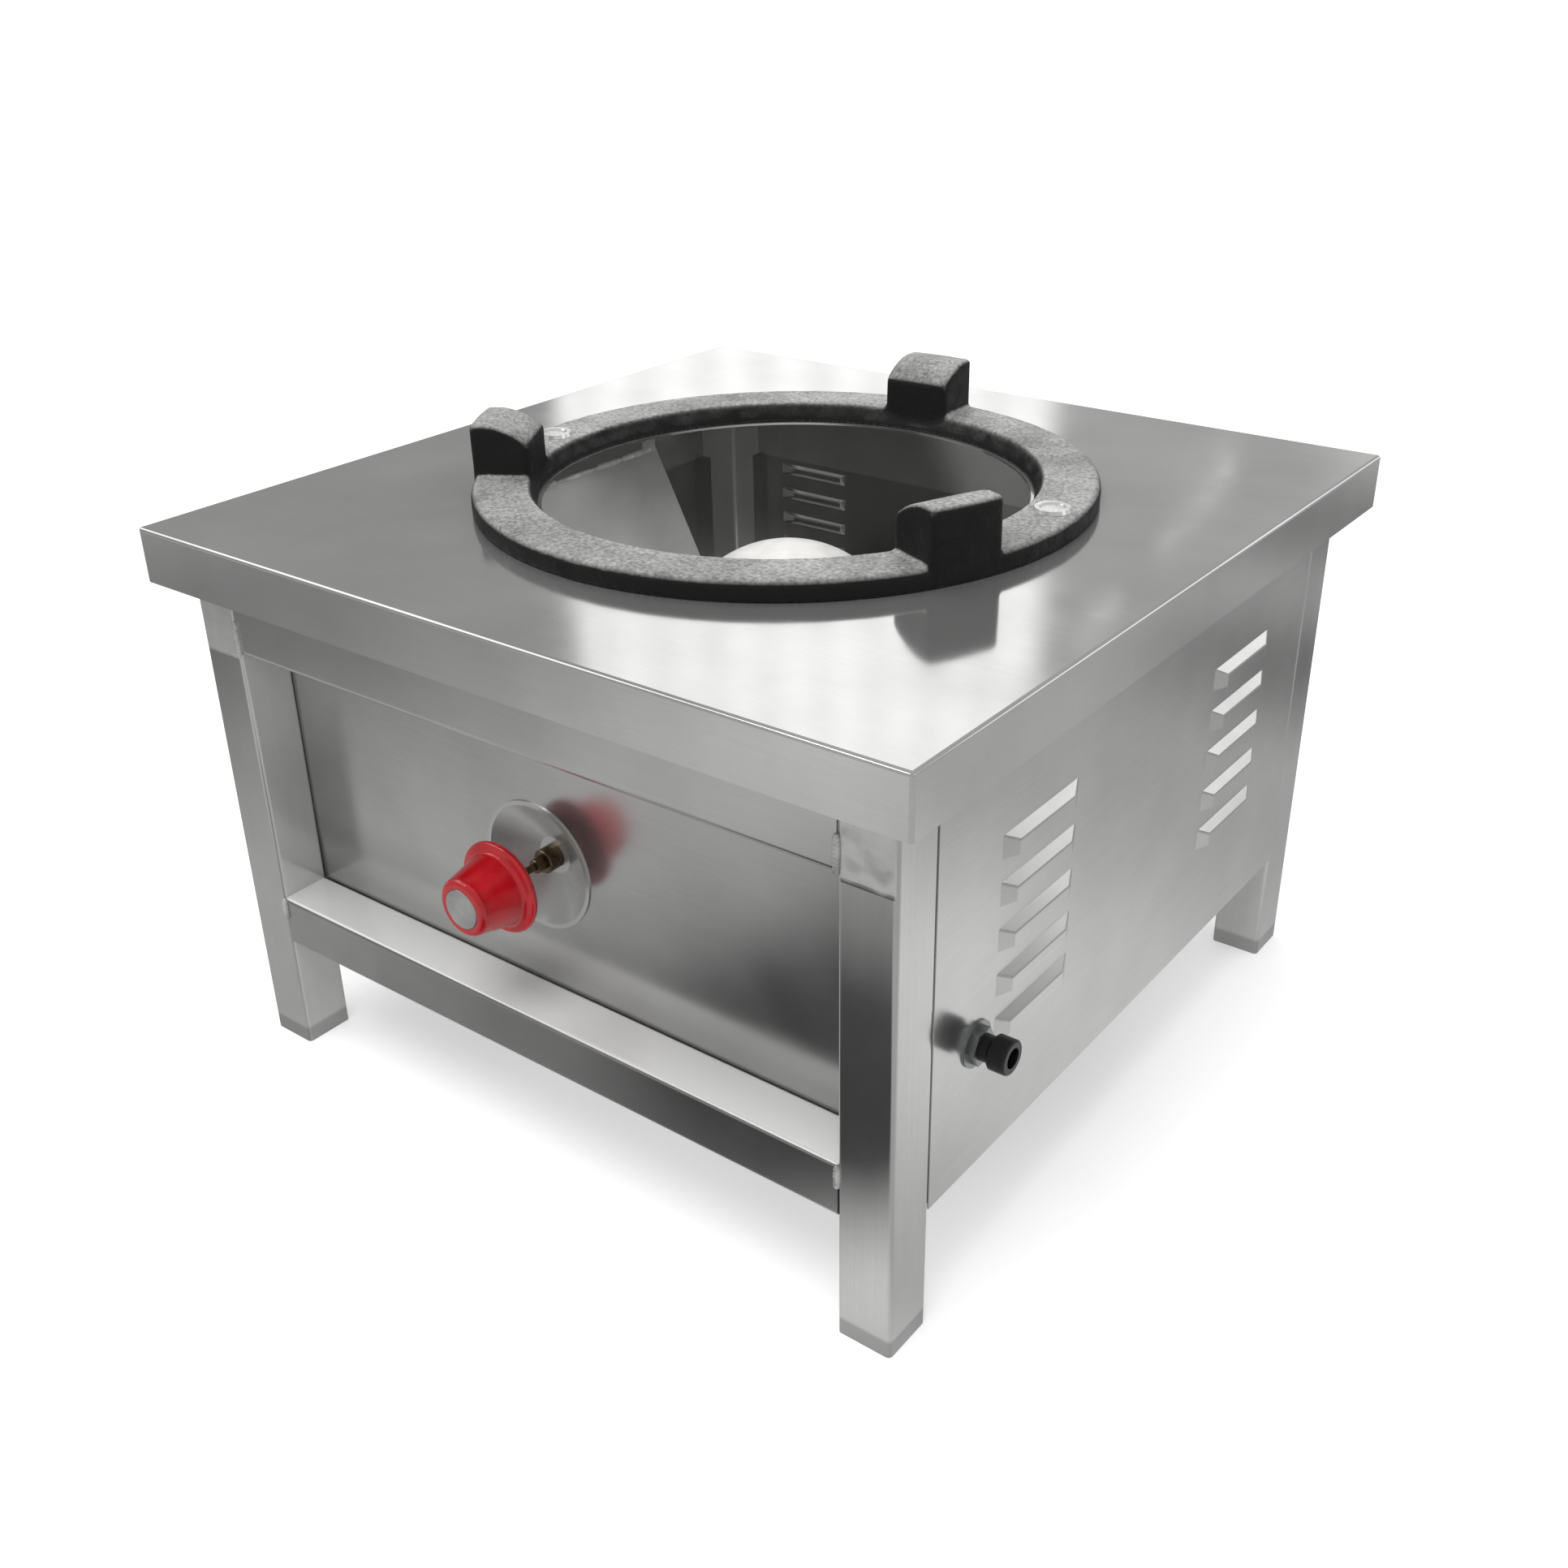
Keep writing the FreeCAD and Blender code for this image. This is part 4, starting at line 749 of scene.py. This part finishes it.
@dataclass
class TableFrame(SubAssembly):
    """The legs, rails, feet and the welds that join them."""

    bead_radius: float = 2.6 * MM
    top_bead: tuple[float, float] = (0.0, 0.3)  # a bead's ends, as shares of the rail's height
    bottom_bead: tuple[float, float] = (0.55, 1.0)

    def build(self) -> None:
        """Dresses the frame and adds its welds."""
        legs = [name for name in self.nodes if name.startswith("leg_")]
        # Clear, upright streaks that waver down the legs, matt where the welds were ground, with a thin band
        # of painted shade at the foot.
        tube = BeltedStainless(
            "polished_stainless_tube",
            Axis.Z,
            roughness=0.13,
            inside_metal=0.4,
            wave_mm=24.0,
            wave_stretch=4.0,
            wave_height_mm=0.75,
            ground_low=0.316,
            ground_high=0.37,
            foot_shade=0.014,
        )
        self.dress(legs + ["foot_plates"], tube)
        for axis, sides in ((Axis.X, ("front", "rear")), (Axis.Y, ("left", "right"))):
            self.dress_rails(axis, sides)
        # The same satin, with painted shade where it faces the burner.
        self.dress(["burner_support_bars"], BeltedStainless("belted_stainless_bar", Axis.X, inside=0.8))
        self.weld_joints()

    def dress_rails(self, axis: Axis, sides: tuple[str, str]) -> None:
        """Dresses the four rails that run one way; the bottom ones were left duller.

        Args:
            axis: The way they run, which the belt followed.
            sides: The sides of the range they are on.
        """
        way = axis.name.lower()
        # Buffed along the fold, so bright streaks run from end to end.
        angle = BeltedStainless("belted_stainless_angle_" + way, axis)
        self.dress(["top_rail_" + side for side in sides], angle)
        # Never buffed: a darker satin, with painted light making the top pale.
        dull = BeltedStainless(
            "dull_stainless_tube_" + way,
            axis,
            tone="acacab",
            shade_tone="9c9c9b",
            roughness=0.22,
            scatter=0.1,
            lit_top_scatter=0.85,
        )
        self.dress(["bottom_rail_" + side for side in sides], dull)

    def weld_joints(self) -> None:
        """Runs a bead up each joint between a front rail and a leg."""
        # Ripples with grey clouds, less of a mirror than the steel beside them.
        metal = GrainedMetal(
            "weld_metal", "d6d6d5", "9a9a99", metallic=0.6, roughness=0.25, grain_mm=2.0
        ).build()
        for rail, shares in (("top_rail_front", self.top_bead), ("bottom_rail_front", self.bottom_bead)):
            low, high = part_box(rail)
            rise = high[2] - low[2]
            for end, side in ((low[0], "left"), (high[0], "right")):
                start, stop = (Vector((end, low[1], low[2] + rise * share)) for share in shares)
                bead = WeldBead(start, stop, self.bead_radius, seed=len(rail) + len(side))
                piece = add_piece("weld_%s_%s" % (rail, side), bead.mesh(), "root", "stainless")
                piece.data.materials.append(metal)


@dataclass
class Cladding(SubAssembly):
    """The folded deck, the panels and the heat deflectors."""

    bead_height: float = 0.377
    bead_inset: float = 1.6 * MM
    bead_margin: float = 3.0 * MM
    bead_gap: float = 0.4 * MM
    bead_lengths_mm: tuple[float, float] = (14, 42)
    bead_radii_mm: tuple[float, float] = (2.0, 3.6)
    bead_seed: int = 5

    def build(self) -> None:
        """Dresses each sheet along its own rolling direction."""
        # The clearest mirror of all, with painted shade round the opening.
        deck = BeltedStainless(
            "polished_stainless_deck", Axis.X, roughness=0.11, scatter=0.15, rim_shade=0.169
        )
        self.dress(["top_deck"], deck)
        # Satin with level streaks, a band of painted shade at the foot that fades out upwards, and painted
        # shade on its inside face.
        front = BeltedStainless("belted_stainless_front", Axis.X, inside=0.7, foot_shade=0.19, foot_shade_edge=0.05)
        self.dress(["front_panel"], front)
        # The same satin, without the band at the foot, and with painted shade on its inside face.
        self.dress(["rear_panel"], BeltedStainless("belted_stainless_sheet_x", Axis.X, inside=0.7))
        # The same satin, with painted shade on the inside faces.
        sides = BeltedStainless("belted_stainless_sheet_y", Axis.Y, inside=0.7)
        self.dress(["left_panel", "right_panel"], sides)
        # Hazy and nearly white, as the heat takes the shine off.
        plate = BeltedStainless(
            "heat_dulled_stainless_plate", Axis.Y, tone="e4e4e3", roughness=0.3, scatter=0.68
        )
        self.dress(["left_deflector", "right_deflector"], plate)
        self.weld_deflectors()

    def weld_deflectors(self) -> None:
        """Runs a ragged bead along each deflector's top edge, with the lumps where it was started again."""
        # Nearly white lumps against the dark inside: a paler copy of the weld metal, painted light.
        metal = GrainedMetal(
            "bright_weld_metal", "fafaf9", "d4d4d3", metallic=0.1, roughness=0.25, grain_mm=2.0
        ).build()
        for name, side in (("left_deflector", -1), ("right_deflector", 1)):
            low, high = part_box(name)
            edge = side * (max(abs(low[0]), abs(high[0])) - self.bead_inset)
            chance = random.Random(side + self.bead_seed)
            place = low[1] + self.bead_margin
            while place < high[1] - self.bead_margin:
                length = chance.uniform(*self.bead_lengths_mm) * MM
                end = min(place + length, high[1] - self.bead_margin)
                radius = chance.uniform(*self.bead_radii_mm) * MM
                start, stop = (Vector((edge, y, self.bead_height)) for y in (place, end))
                bead = WeldBead(start, stop, radius, seed=chance.randrange(1000))
                piece = add_piece("weld_%s_%d" % (name, round(place / MM)), bead.mesh(), "root", "stainless")
                piece.data.materials.append(metal)
                place = end + self.bead_gap


@dataclass
class PanRing(SubAssembly):
    """The cast ring with its lugs, softened as a sand casting is, and its fixings."""

    voxel: float = 1.6 * MM
    softening: int = 5
    unevenness: float = 0.25 * MM
    lump: float = 14.0 * MM

    def build(self) -> None:
        """Casts the ring and dresses its fixings."""
        ring = self.cast()
        ring.data.materials.clear()
        # Near-black flanks under a pale, speckled top, partly painted light from above.
        ring.data.materials.append(SandCastIron("sand_cast_iron").build())
        # Pale, shiny heads that stand out on the iron.
        bright = GrainedMetal("zinc_plated_steel_ring", "f2f2f1", "c6c6c5", metallic=0.7, roughness=0.22)
        self.dress(["ring_fixings", "ring_nuts"], bright)

    def cast(self) -> Object:
        """Remeshes the ring finely, rounds its edges and makes its surface slightly uneven.

        Returns:
            The cast ring.
        """
        source = self.nodes["pan_ring"]
        rough = put("ring_pattern", source.data.copy())
        remesh = rough.modifiers.new("sand", "REMESH")
        remesh.mode = "VOXEL"
        remesh.voxel_size = self.voxel
        soften = rough.modifiers.new("soften", "SMOOTH")
        soften.iterations = self.softening
        graph = bpy.context.evaluated_depsgraph_get()
        mesh = bpy.data.meshes.new_from_object(rough.evaluated_get(graph))
        bpy.data.objects.remove(rough)
        outward = [vertex.normal.copy() for vertex in mesh.vertices]
        for vertex, way in zip(mesh.vertices, outward):
            vertex.co += way * self.unevenness * noise.noise(vertex.co / self.lump)
        mesh.shade_smooth()
        return add_piece("cast_pan_ring", mesh, "root", "cast_ring", "pan_ring")


@dataclass
class Burner(SubAssembly):
    """The burner's body, cap, bolts, shutter and jet."""

    def build(self) -> None:
        """Dresses the burner."""
        # The ring's sand-cast grain, but nearly black, as the flames keep it; less of the pale top, which is
        # partly painted light.
        self.dress(
            ["burner_bowl", "burner_body", "mixing_tube", "mouth_bridge"],
            SandCastIron("sand_cast_burner_iron", worn_lit="5a5855", wear_and_light=0.6),
        )
        # A matt, pale dome, the lightest thing inside.
        cap = GrainedMetal(
            "cast_aluminium_cap", "e2e1df", "d4d3d0", metallic=0.2, roughness=0.5, grain_height_mm=0.08
        )
        self.dress(["burner_cap", "flame_ring"], cap)
        # A soft bluish shine.
        self.dress(
            ["burner_bolts", "burner_nuts", "air_shutter"],
            GrainedMetal("zinc_plated_steel", "b4b6b6", "8e9090", roughness=0.32),
        )
        # Yellow, with soft glints.
        brass = GrainedMetal("machined_brass", "b08d57", "8a6c40", roughness=0.3)
        self.dress(["jet_holder", "gas_jet"], brass)


@dataclass
class GasLine(SubAssembly):
    """The inlet, pipe, fittings and feed tube."""

    def build(self) -> None:
        """Dresses the gas line."""
        # Dull blue-grey, with the zinc's faint clouds.
        self.dress(
            ["supply_pipe", "pipe_coupling", "pipe_elbow", "inlet_washer", "inlet_locknuts"],
            GrainedMetal("galvanised_steel", "a8aaaa", "838585", roughness=0.38),
        )
        # A nearly black satin with one soft highlight.
        black = GrainedMetal(
            "black_painted_brass", "1b1b1c", "111112", metallic=0.2, roughness=0.38, grain_mm=1.4
        )
        self.dress(["inlet_nozzle"], black)
        # Brownish yellow, rougher than turned brass.
        self.dress(["hex_nipple", "union_nuts", "valve_body"], GrainedMetal("cast_brass", "a5854f", "7c6238"))
        # A warm red that shines along the bends.
        self.dress(["feed_tube"], GrainedMetal("drawn_copper", "b5724f", "8a5238", roughness=0.3))


@dataclass
class Control(SubAssembly):
    """The knob, its disc, the spindle, the dished plate and the spring that pushes the knob back out."""

    wire_radius: float = 0.7 * MM
    spring_turns: float = 5.0
    wire_sides: int = 8
    steps_per_turn: int = 24
    push_travel: float = 3.0 * MM

    def build(self) -> None:
        """Dresses the control and winds its return spring."""
        # Deep red, with small hard highlights.
        self.dress(["knob"], MouldedPhenolic("moulded_red_phenolic"))
        # A pale satin disc in the red.
        disc = GrainedMetal("spun_aluminium", "d2d2d1", "b4b4b3", roughness=0.28, grain_mm=2.0)
        self.dress(["knob_disc"], disc)
        # Blurred steel whose dish gathers one soft highlight.
        dish = BeltedStainless(
            "pressed_stainless_dish",
            Axis.X,
            roughness=0.25,
            scatter=0.25,
            wave_mm=40.0,
            wave_height_mm=0.3,
        )
        self.dress(["escutcheon"], dish)
        # Brown and dark, with small brighter patches.
        self.dress(
            ["gland_nut", "valve_spindle", "valve_plug", "thrust_washer", "knob_grub_screw"],
            GrainedMetal("tarnished_brass", "85735a", "54493a", roughness=0.3, patch_mm=5.0),
        )
        self.wind_spring()

    def wind_spring(self) -> None:
        """Winds the spring in the room it has in the valve."""
        low, high = (Vector(corner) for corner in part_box("return_spring"))
        middle = (low + high) / 2
        radius = (high.x - low.x) / 2 - self.wire_radius
        travel = high.y - low.y - 2 * self.wire_radius
        steps = round(self.spring_turns * self.steps_per_turn)
        along = Vector((0.0, 1.0, 0.0))
        rings = []
        for step in range(steps + 1):
            turn = 2 * math.pi * step / self.steps_per_turn
            outward = Vector((math.cos(turn), 0.0, math.sin(turn)))
            depth = low.y + self.wire_radius + travel * step / steps
            centre = Vector((middle.x, depth, middle.z)) + outward * radius
            rings.append(ring_of_points(centre, outward, along, self.wire_radius, self.wire_sides))
        mesh = tube_mesh("spring_coil", rings)
        spring = add_piece("wound_return_spring", mesh, "root", "zinc_steel", "return_spring")
        # An even grey shine round each turn.
        wire = GrainedMetal("drawn_spring_wire", "a9a9a6", "8a8a86", roughness=0.3)
        spring.data.materials.append(wire.build())
        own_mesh(spring)


# --- Studio ---
@dataclass(frozen=True)
class Card:
    """A glowing card that only shows in reflections, as softboxes and curtained windows do in a studio."""

    name: str
    bearing: float  # degrees to the left of +Y, seen from the range
    distance: float
    low: float
    high: float
    width: float
    glow: float
    softness: float = 0.3
    folds: int = 0  # curtain folds across the card
    lean: float = 0.0  # degrees that the card is turned in its own plane

    def middle(self) -> Vector:
        """Gives the card's middle."""
        turn = math.radians(self.bearing)
        height = (self.low + self.high) / 2
        return Vector((-self.distance * math.sin(turn), self.distance * math.cos(turn), height))


@dataclass(frozen=True)
class Pool:
    """A round patch of the mirrored floor that is lighter or darker than the rest."""

    x: float
    y: float
    radius: float
    gain: float


@dataclass(frozen=True)
class Lamp:
    """A soft round lamp that points at the origin and shows in no mirror."""

    name: str
    place: tuple[float, float, float]
    size: float
    power: float


LAMPS = (
    Lamp("top_lamp", (-0.7, 0.3, 2.6), 2.6, 26.0),
    Lamp("front_lamp", (0.3, -1.2, 2.5), 1.4, 30.0),
)
CARDS = (
    Card("window", 36.4, 3.1, 0.8, 2.7, 1.34, 1.5, 0.12, 9),
    Card("door_gap", 22.2, 3.15, 1.66, 1.88, 0.04, 1.3, 0.6, 0, -35.0),
    Card("door_edge", 18.1, 3.15, 1.2, 1.6, 0.035, 1.1, 0.6, 0, -35.0),
    Card("rear_glow", 8.0, 3.2, 0.9, 1.5, 0.7, 0.7, 0.6),
    Card("rear_right_window", -32.0, 3.1, 0.6, 1.7, 1.5, 1.55, 0.2),
    Card("front_window", 118.0, 2.6, 1.3, 3.1, 2.6, 2.0, 0.3),
    Card("ceiling_lamp", 150.0, 1.7, 1.6, 2.0, 0.4, 9.0, 0.2),
    Card("right_window", -75.0, 3.0, 0.9, 2.6, 1.2, 1.6, 0.4),
)
POOLS = (
    Pool(0.48, 0.05, 0.42, 0.4),
    Pool(0.5, 0.82, 0.3, -0.32),
    Pool(0.69, 1.3, 0.4, -0.3),
    Pool(-1.08, -0.8, 0.8, -0.33),
    Pool(-0.25, -0.95, 0.4, 0.2),
    Pool(0.11, -0.49, 0.25, -0.75),
    Pool(0.0, -0.68, 0.16, -0.18),
    Pool(-0.1, -0.44, 0.22, -0.22),
    Pool(0.24, -0.33, 0.14, 0.4),
)


@dataclass
class Studio:
    """The camera, the floor, the lamps and what the metal mirrors."""

    camera_place: tuple[float, float, float] = (0.67694, -0.88502, 0.76088)
    azimuth: float = 0.65737  # in radians, as are the next two
    elevation: float = 0.48396
    roll: float = -0.018066
    focal_pixels: float = 2064.72
    sensor: float = 36.0
    floor_radius: float = 30.0
    floor_colour: tuple[float, float, float, float] = (0.8, 0.8, 0.8, 1.0)
    floor_lift: float = 0.38  # what the camera sees of the floor beyond the light that falls on it
    disc_sides: int = 96
    world_light: float = 0.8
    wall_radius: float = 3.4
    wall_height: float = 3.2
    wall_foot: float = -0.01
    wall_sides: int = 64
    wall_left: float = 0.27
    wall_right: float = 0.41
    wall_turn: tuple[float, float] = (-2.6, -1.3)  # between these places along X the wall gets lighter
    mirror_height: float = 0.0003
    floor_glow: float = 0.5
    floor_darkest: float = 0.02
    fold_shade: float = 0.86
    lamps: tuple[Lamp, ...] = LAMPS
    cards: tuple[Card, ...] = CARDS
    pools: tuple[Pool, ...] = POOLS

    def build(self) -> None:
        """Sets up the studio."""
        self.add_camera()
        self.add_world()
        self.add_floor()
        for lamp in self.lamps:
            self.add_lamp(lamp)
        self.add_walls()
        self.add_mirrored_floor()
        for card in self.cards:
            self.add_card(card)
        bpy.context.scene.view_settings.view_transform = "Standard"
        LOG.info("studio: camera, floor, walls, %d lamps and %d cards", len(self.lamps), len(self.cards))

    def add_camera(self) -> None:
        """Puts the camera where the photograph was taken from."""
        level = math.cos(self.elevation)
        back = Vector(
            (math.sin(self.azimuth) * level, -math.cos(self.azimuth) * level, math.sin(self.elevation))
        )
        right = Vector((0, 0, 1)).cross(back).normalized()
        up = back.cross(right)
        turned_right = right * math.cos(self.roll) + up * math.sin(self.roll)
        turned_up = up * math.cos(self.roll) - right * math.sin(self.roll)
        lens = bpy.data.cameras.new("camera")
        lens.sensor_width = self.sensor
        lens.lens = self.focal_pixels / PHOTO_PIXELS * self.sensor
        camera = put("camera", lens)
        axes = Matrix((turned_right, turned_up, back)).transposed().to_4x4()
        camera.matrix_world = Matrix.Translation(self.camera_place) @ axes
        bpy.context.scene.camera = camera

    def add_world(self) -> None:
        """Makes a white world for the camera, mirrors and glass, and a soft even light for the rest."""
        world = bpy.data.worlds.new("studio")
        world.use_nodes = True
        tree = world.node_tree
        tree.nodes.clear()
        path = add_node(tree, "LightPath")
        shown = path.outputs["Is Camera Ray"]
        for ray in ("Is Glossy Ray", "Is Transmission Ray"):
            both = add_node(tree, "Math", {0: shown, 1: path.outputs[ray]}, operation="ADD", use_clamp=True)
            shown = both.outputs["Value"]
        strength = add_node(tree, "MapRange", {"Value": shown, "To Min": self.world_light, "To Max": 1.0})
        sky = add_node(tree, "Background", {"Color": WHITE, "Strength": strength.outputs["Result"]})
        add_node(tree, "OutputWorld", {"Surface": sky.outputs["Background"]})
        bpy.context.scene.world = world

    def add_disc(self, name: str, radius: float, height: float) -> Object:
        """Adds a flat disc round the origin as part of the stage.

        Args:
            name: The disc's name.
            radius: Its radius.
            height: Its height above the floor.

        Returns:
            The disc.
        """
        shape = bmesh.new()
        bmesh.ops.create_circle(shape, cap_ends=True, segments=self.disc_sides, radius=radius)
        disc = put(name, finished_mesh(name, shape))
        disc.location = (0, 0, height)
        return disc

    def add_floor(self) -> None:
        """Lays a white floor that keeps the object's soft shadow."""
        floor = self.add_disc("floor", self.floor_radius, 0.0)
        material = blank_material("white_floor")
        tree = material.node_tree
        paper = add_node(tree, "BsdfDiffuse", {"Color": self.floor_colour})
        path = add_node(tree, "LightPath")
        lift = add_node(
            tree, "Math", {0: path.outputs["Is Camera Ray"], 1: self.floor_lift}, operation="MULTIPLY"
        )
        glow = add_node(tree, "Emission", {"Color": WHITE, "Strength": lift.outputs["Value"]})
        both = add_node(tree, "AddShader", {0: paper.outputs["BSDF"], 1: glow.outputs["Emission"]})
        add_node(tree, "OutputMaterial", {"Surface": both.outputs["Shader"]})
        floor.data.materials.append(material)

    def add_lamp(self, lamp: Lamp) -> None:
        """Hangs one lamp.

        Args:
            lamp: What to hang where.
        """
        light = bpy.data.lights.new(lamp.name, "AREA")
        light.shape = "DISK"
        light.size = lamp.size
        light.energy = lamp.power
        hung = put(lamp.name, light)
        hung.location = lamp.place
        hung.rotation_euler = (-Vector(lamp.place)).to_track_quat("-Z", "Y").to_euler()
        hung.visible_glossy = False

    def add_walls(self) -> None:
        """Surrounds the object with a grey wall and ceiling, darker on the left, that only mirrors see."""
        shell = bmesh.new()
        bmesh.ops.create_cone(
            shell,
            cap_ends=True,
            segments=self.wall_sides,
            radius1=self.wall_radius,
            radius2=self.wall_radius,
            depth=self.wall_height,
        )
        bmesh.ops.translate(shell, verts=shell.verts, vec=(0, 0, self.wall_height / 2 + self.wall_foot))
        walls = put("grey_walls", finished_mesh("grey_walls", shell))
        tree, place = self.mirrored(walls)
        parts = add_node(tree, "SeparateXYZ", {"Vector": place})
        strength = add_node(
            tree,
            "MapRange",
            {
                "Value": parts.outputs["X"],
                "From Min": self.wall_turn[0],
                "From Max": self.wall_turn[1],
                "To Min": self.wall_left,
                "To Max": self.wall_right,
            },
            interpolation_type="SMOOTHSTEP",
        )
        self.finish_glow(tree, strength.outputs["Result"])

    def add_mirrored_floor(self) -> None:
        """Lays the floor that mirrors see, with its lighter and darker pools."""
        floor = self.add_disc("mirrored_floor", self.wall_radius, self.mirror_height)
        tree, place = self.mirrored(floor)
        total = self.floor_glow
        for pool in self.pools:
            away = add_node(tree, "VectorMath", {0: place, 1: (pool.x, pool.y, 0.0)}, operation="DISTANCE")
            span = {"From Max": pool.radius, "To Min": pool.gain, "To Max": 0.0}
            inputs = {"Value": away.outputs["Value"], **span}
            gain = add_node(tree, "MapRange", inputs, interpolation_type="SMOOTHSTEP")
            share = {0: gain.outputs["Result"], 1: total}
            total = add_node(tree, "Math", share, operation="ADD").outputs["Value"]
        strength = add_node(tree, "Math", {0: total, 1: self.floor_darkest}, operation="MAXIMUM")
        self.finish_glow(tree, strength.outputs["Value"])

    def add_card(self, card: Card) -> None:
        """Stands one card up, facing the object, with soft edges and its folds.

        Args:
            card: What to stand where.
        """
        half_width, half_height = card.width / 2, (card.high - card.low) / 2
        ways = ((-1, -1), (1, -1), (1, 1), (-1, 1))
        mesh = bpy.data.meshes.new(card.name)
        mesh.from_pydata([(x * half_width, y * half_height, 0) for x, y in ways], [], [(0, 1, 2, 3)])
        plane = put(card.name, mesh)
        middle = card.middle()
        back = Vector((middle.x, middle.y, 0)).normalized()
        upright = Vector((0, 0, 1))
        axes = Matrix((upright.cross(back), upright, -back)).transposed().to_4x4()
        turn = Matrix.Rotation(math.radians(card.lean), 4, "Z")
        plane.matrix_world = Matrix.Translation(middle) @ axes @ turn
        tree, place = self.mirrored(plane)
        parts = add_node(tree, "SeparateXYZ", {"Vector": place})
        shares = []
        for axis, half in (("X", half_width), ("Y", half_height)):
            out = add_node(tree, "Math", {0: parts.outputs[axis]}, operation="ABSOLUTE")
            span = {"From Min": half * (1 - card.softness), "From Max": half, "To Min": 1.0, "To Max": 0.0}
            inputs = {"Value": out.outputs["Value"], **span}
            fade = add_node(tree, "MapRange", inputs, interpolation_type="SMOOTHSTEP")
            shares.append(fade.outputs["Result"])
        share = add_node(tree, "Math", {0: shares[0], 1: shares[1]}, operation="MULTIPLY")
        inputs = {0: parts.outputs["X"], 1: 2 * math.pi * card.folds / card.width}
        turns = add_node(tree, "Math", inputs, operation="MULTIPLY")
        wave = add_node(tree, "Math", {0: turns.outputs["Value"]}, operation="SINE")
        span = {"From Min": -1.0, "To Min": card.glow * self.fold_shade, "To Max": card.glow}
        fold = add_node(tree, "MapRange", {"Value": wave.outputs["Value"], **span})
        self.finish_glow(tree, fold.outputs["Result"], share.outputs["Value"])

    def mirrored(self, thing: Object) -> tuple[Tree, Socket]:
        """Starts the glow of a stage piece that only mirrors see.

        Args:
            thing: The wall, floor or card.

        Returns:
            The glow's node tree, and the piece's own coordinates.
        """
        for kind in ("camera", "diffuse", "transmission", "volume_scatter", "shadow"):
            setattr(thing, "visible_" + kind, False)
        material = blank_material(thing.name + "_glow")
        thing.data.materials.append(material)
        place = add_node(material.node_tree, "TexCoord")
        return material.node_tree, place.outputs["Object"]

    def finish_glow(self, tree: Tree, strength: Socket, share: Socket | None = None) -> None:
        """Ends the glow of a stage piece.

        Args:
            tree: Its node tree.
            strength: How bright it looks in a perfect mirror.
            share: How much of the piece shows, where it fades out.
        """
        light = add_node(tree, "Emission", {"Strength": strength})
        surface = light.outputs["Emission"]
        if share:
            clear = add_node(tree, "BsdfTransparent")
            mixed = add_node(tree, "MixShader", {0: share, 1: clear.outputs["BSDF"], 2: surface})
            surface = mixed.outputs["Shader"]
        add_node(tree, "OutputMaterial", {"Surface": surface})


def main() -> None:
    """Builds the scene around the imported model."""
    logging.basicConfig(level=logging.INFO, format="%(message)s")
    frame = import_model()
    nodes = frame["nodes"]
    for assembly in (TableFrame, Cladding, PanRing, Burner, GasLine, Control):
        assembly(nodes).build()
    Studio().build()


if __name__ == "__main__":
    main()
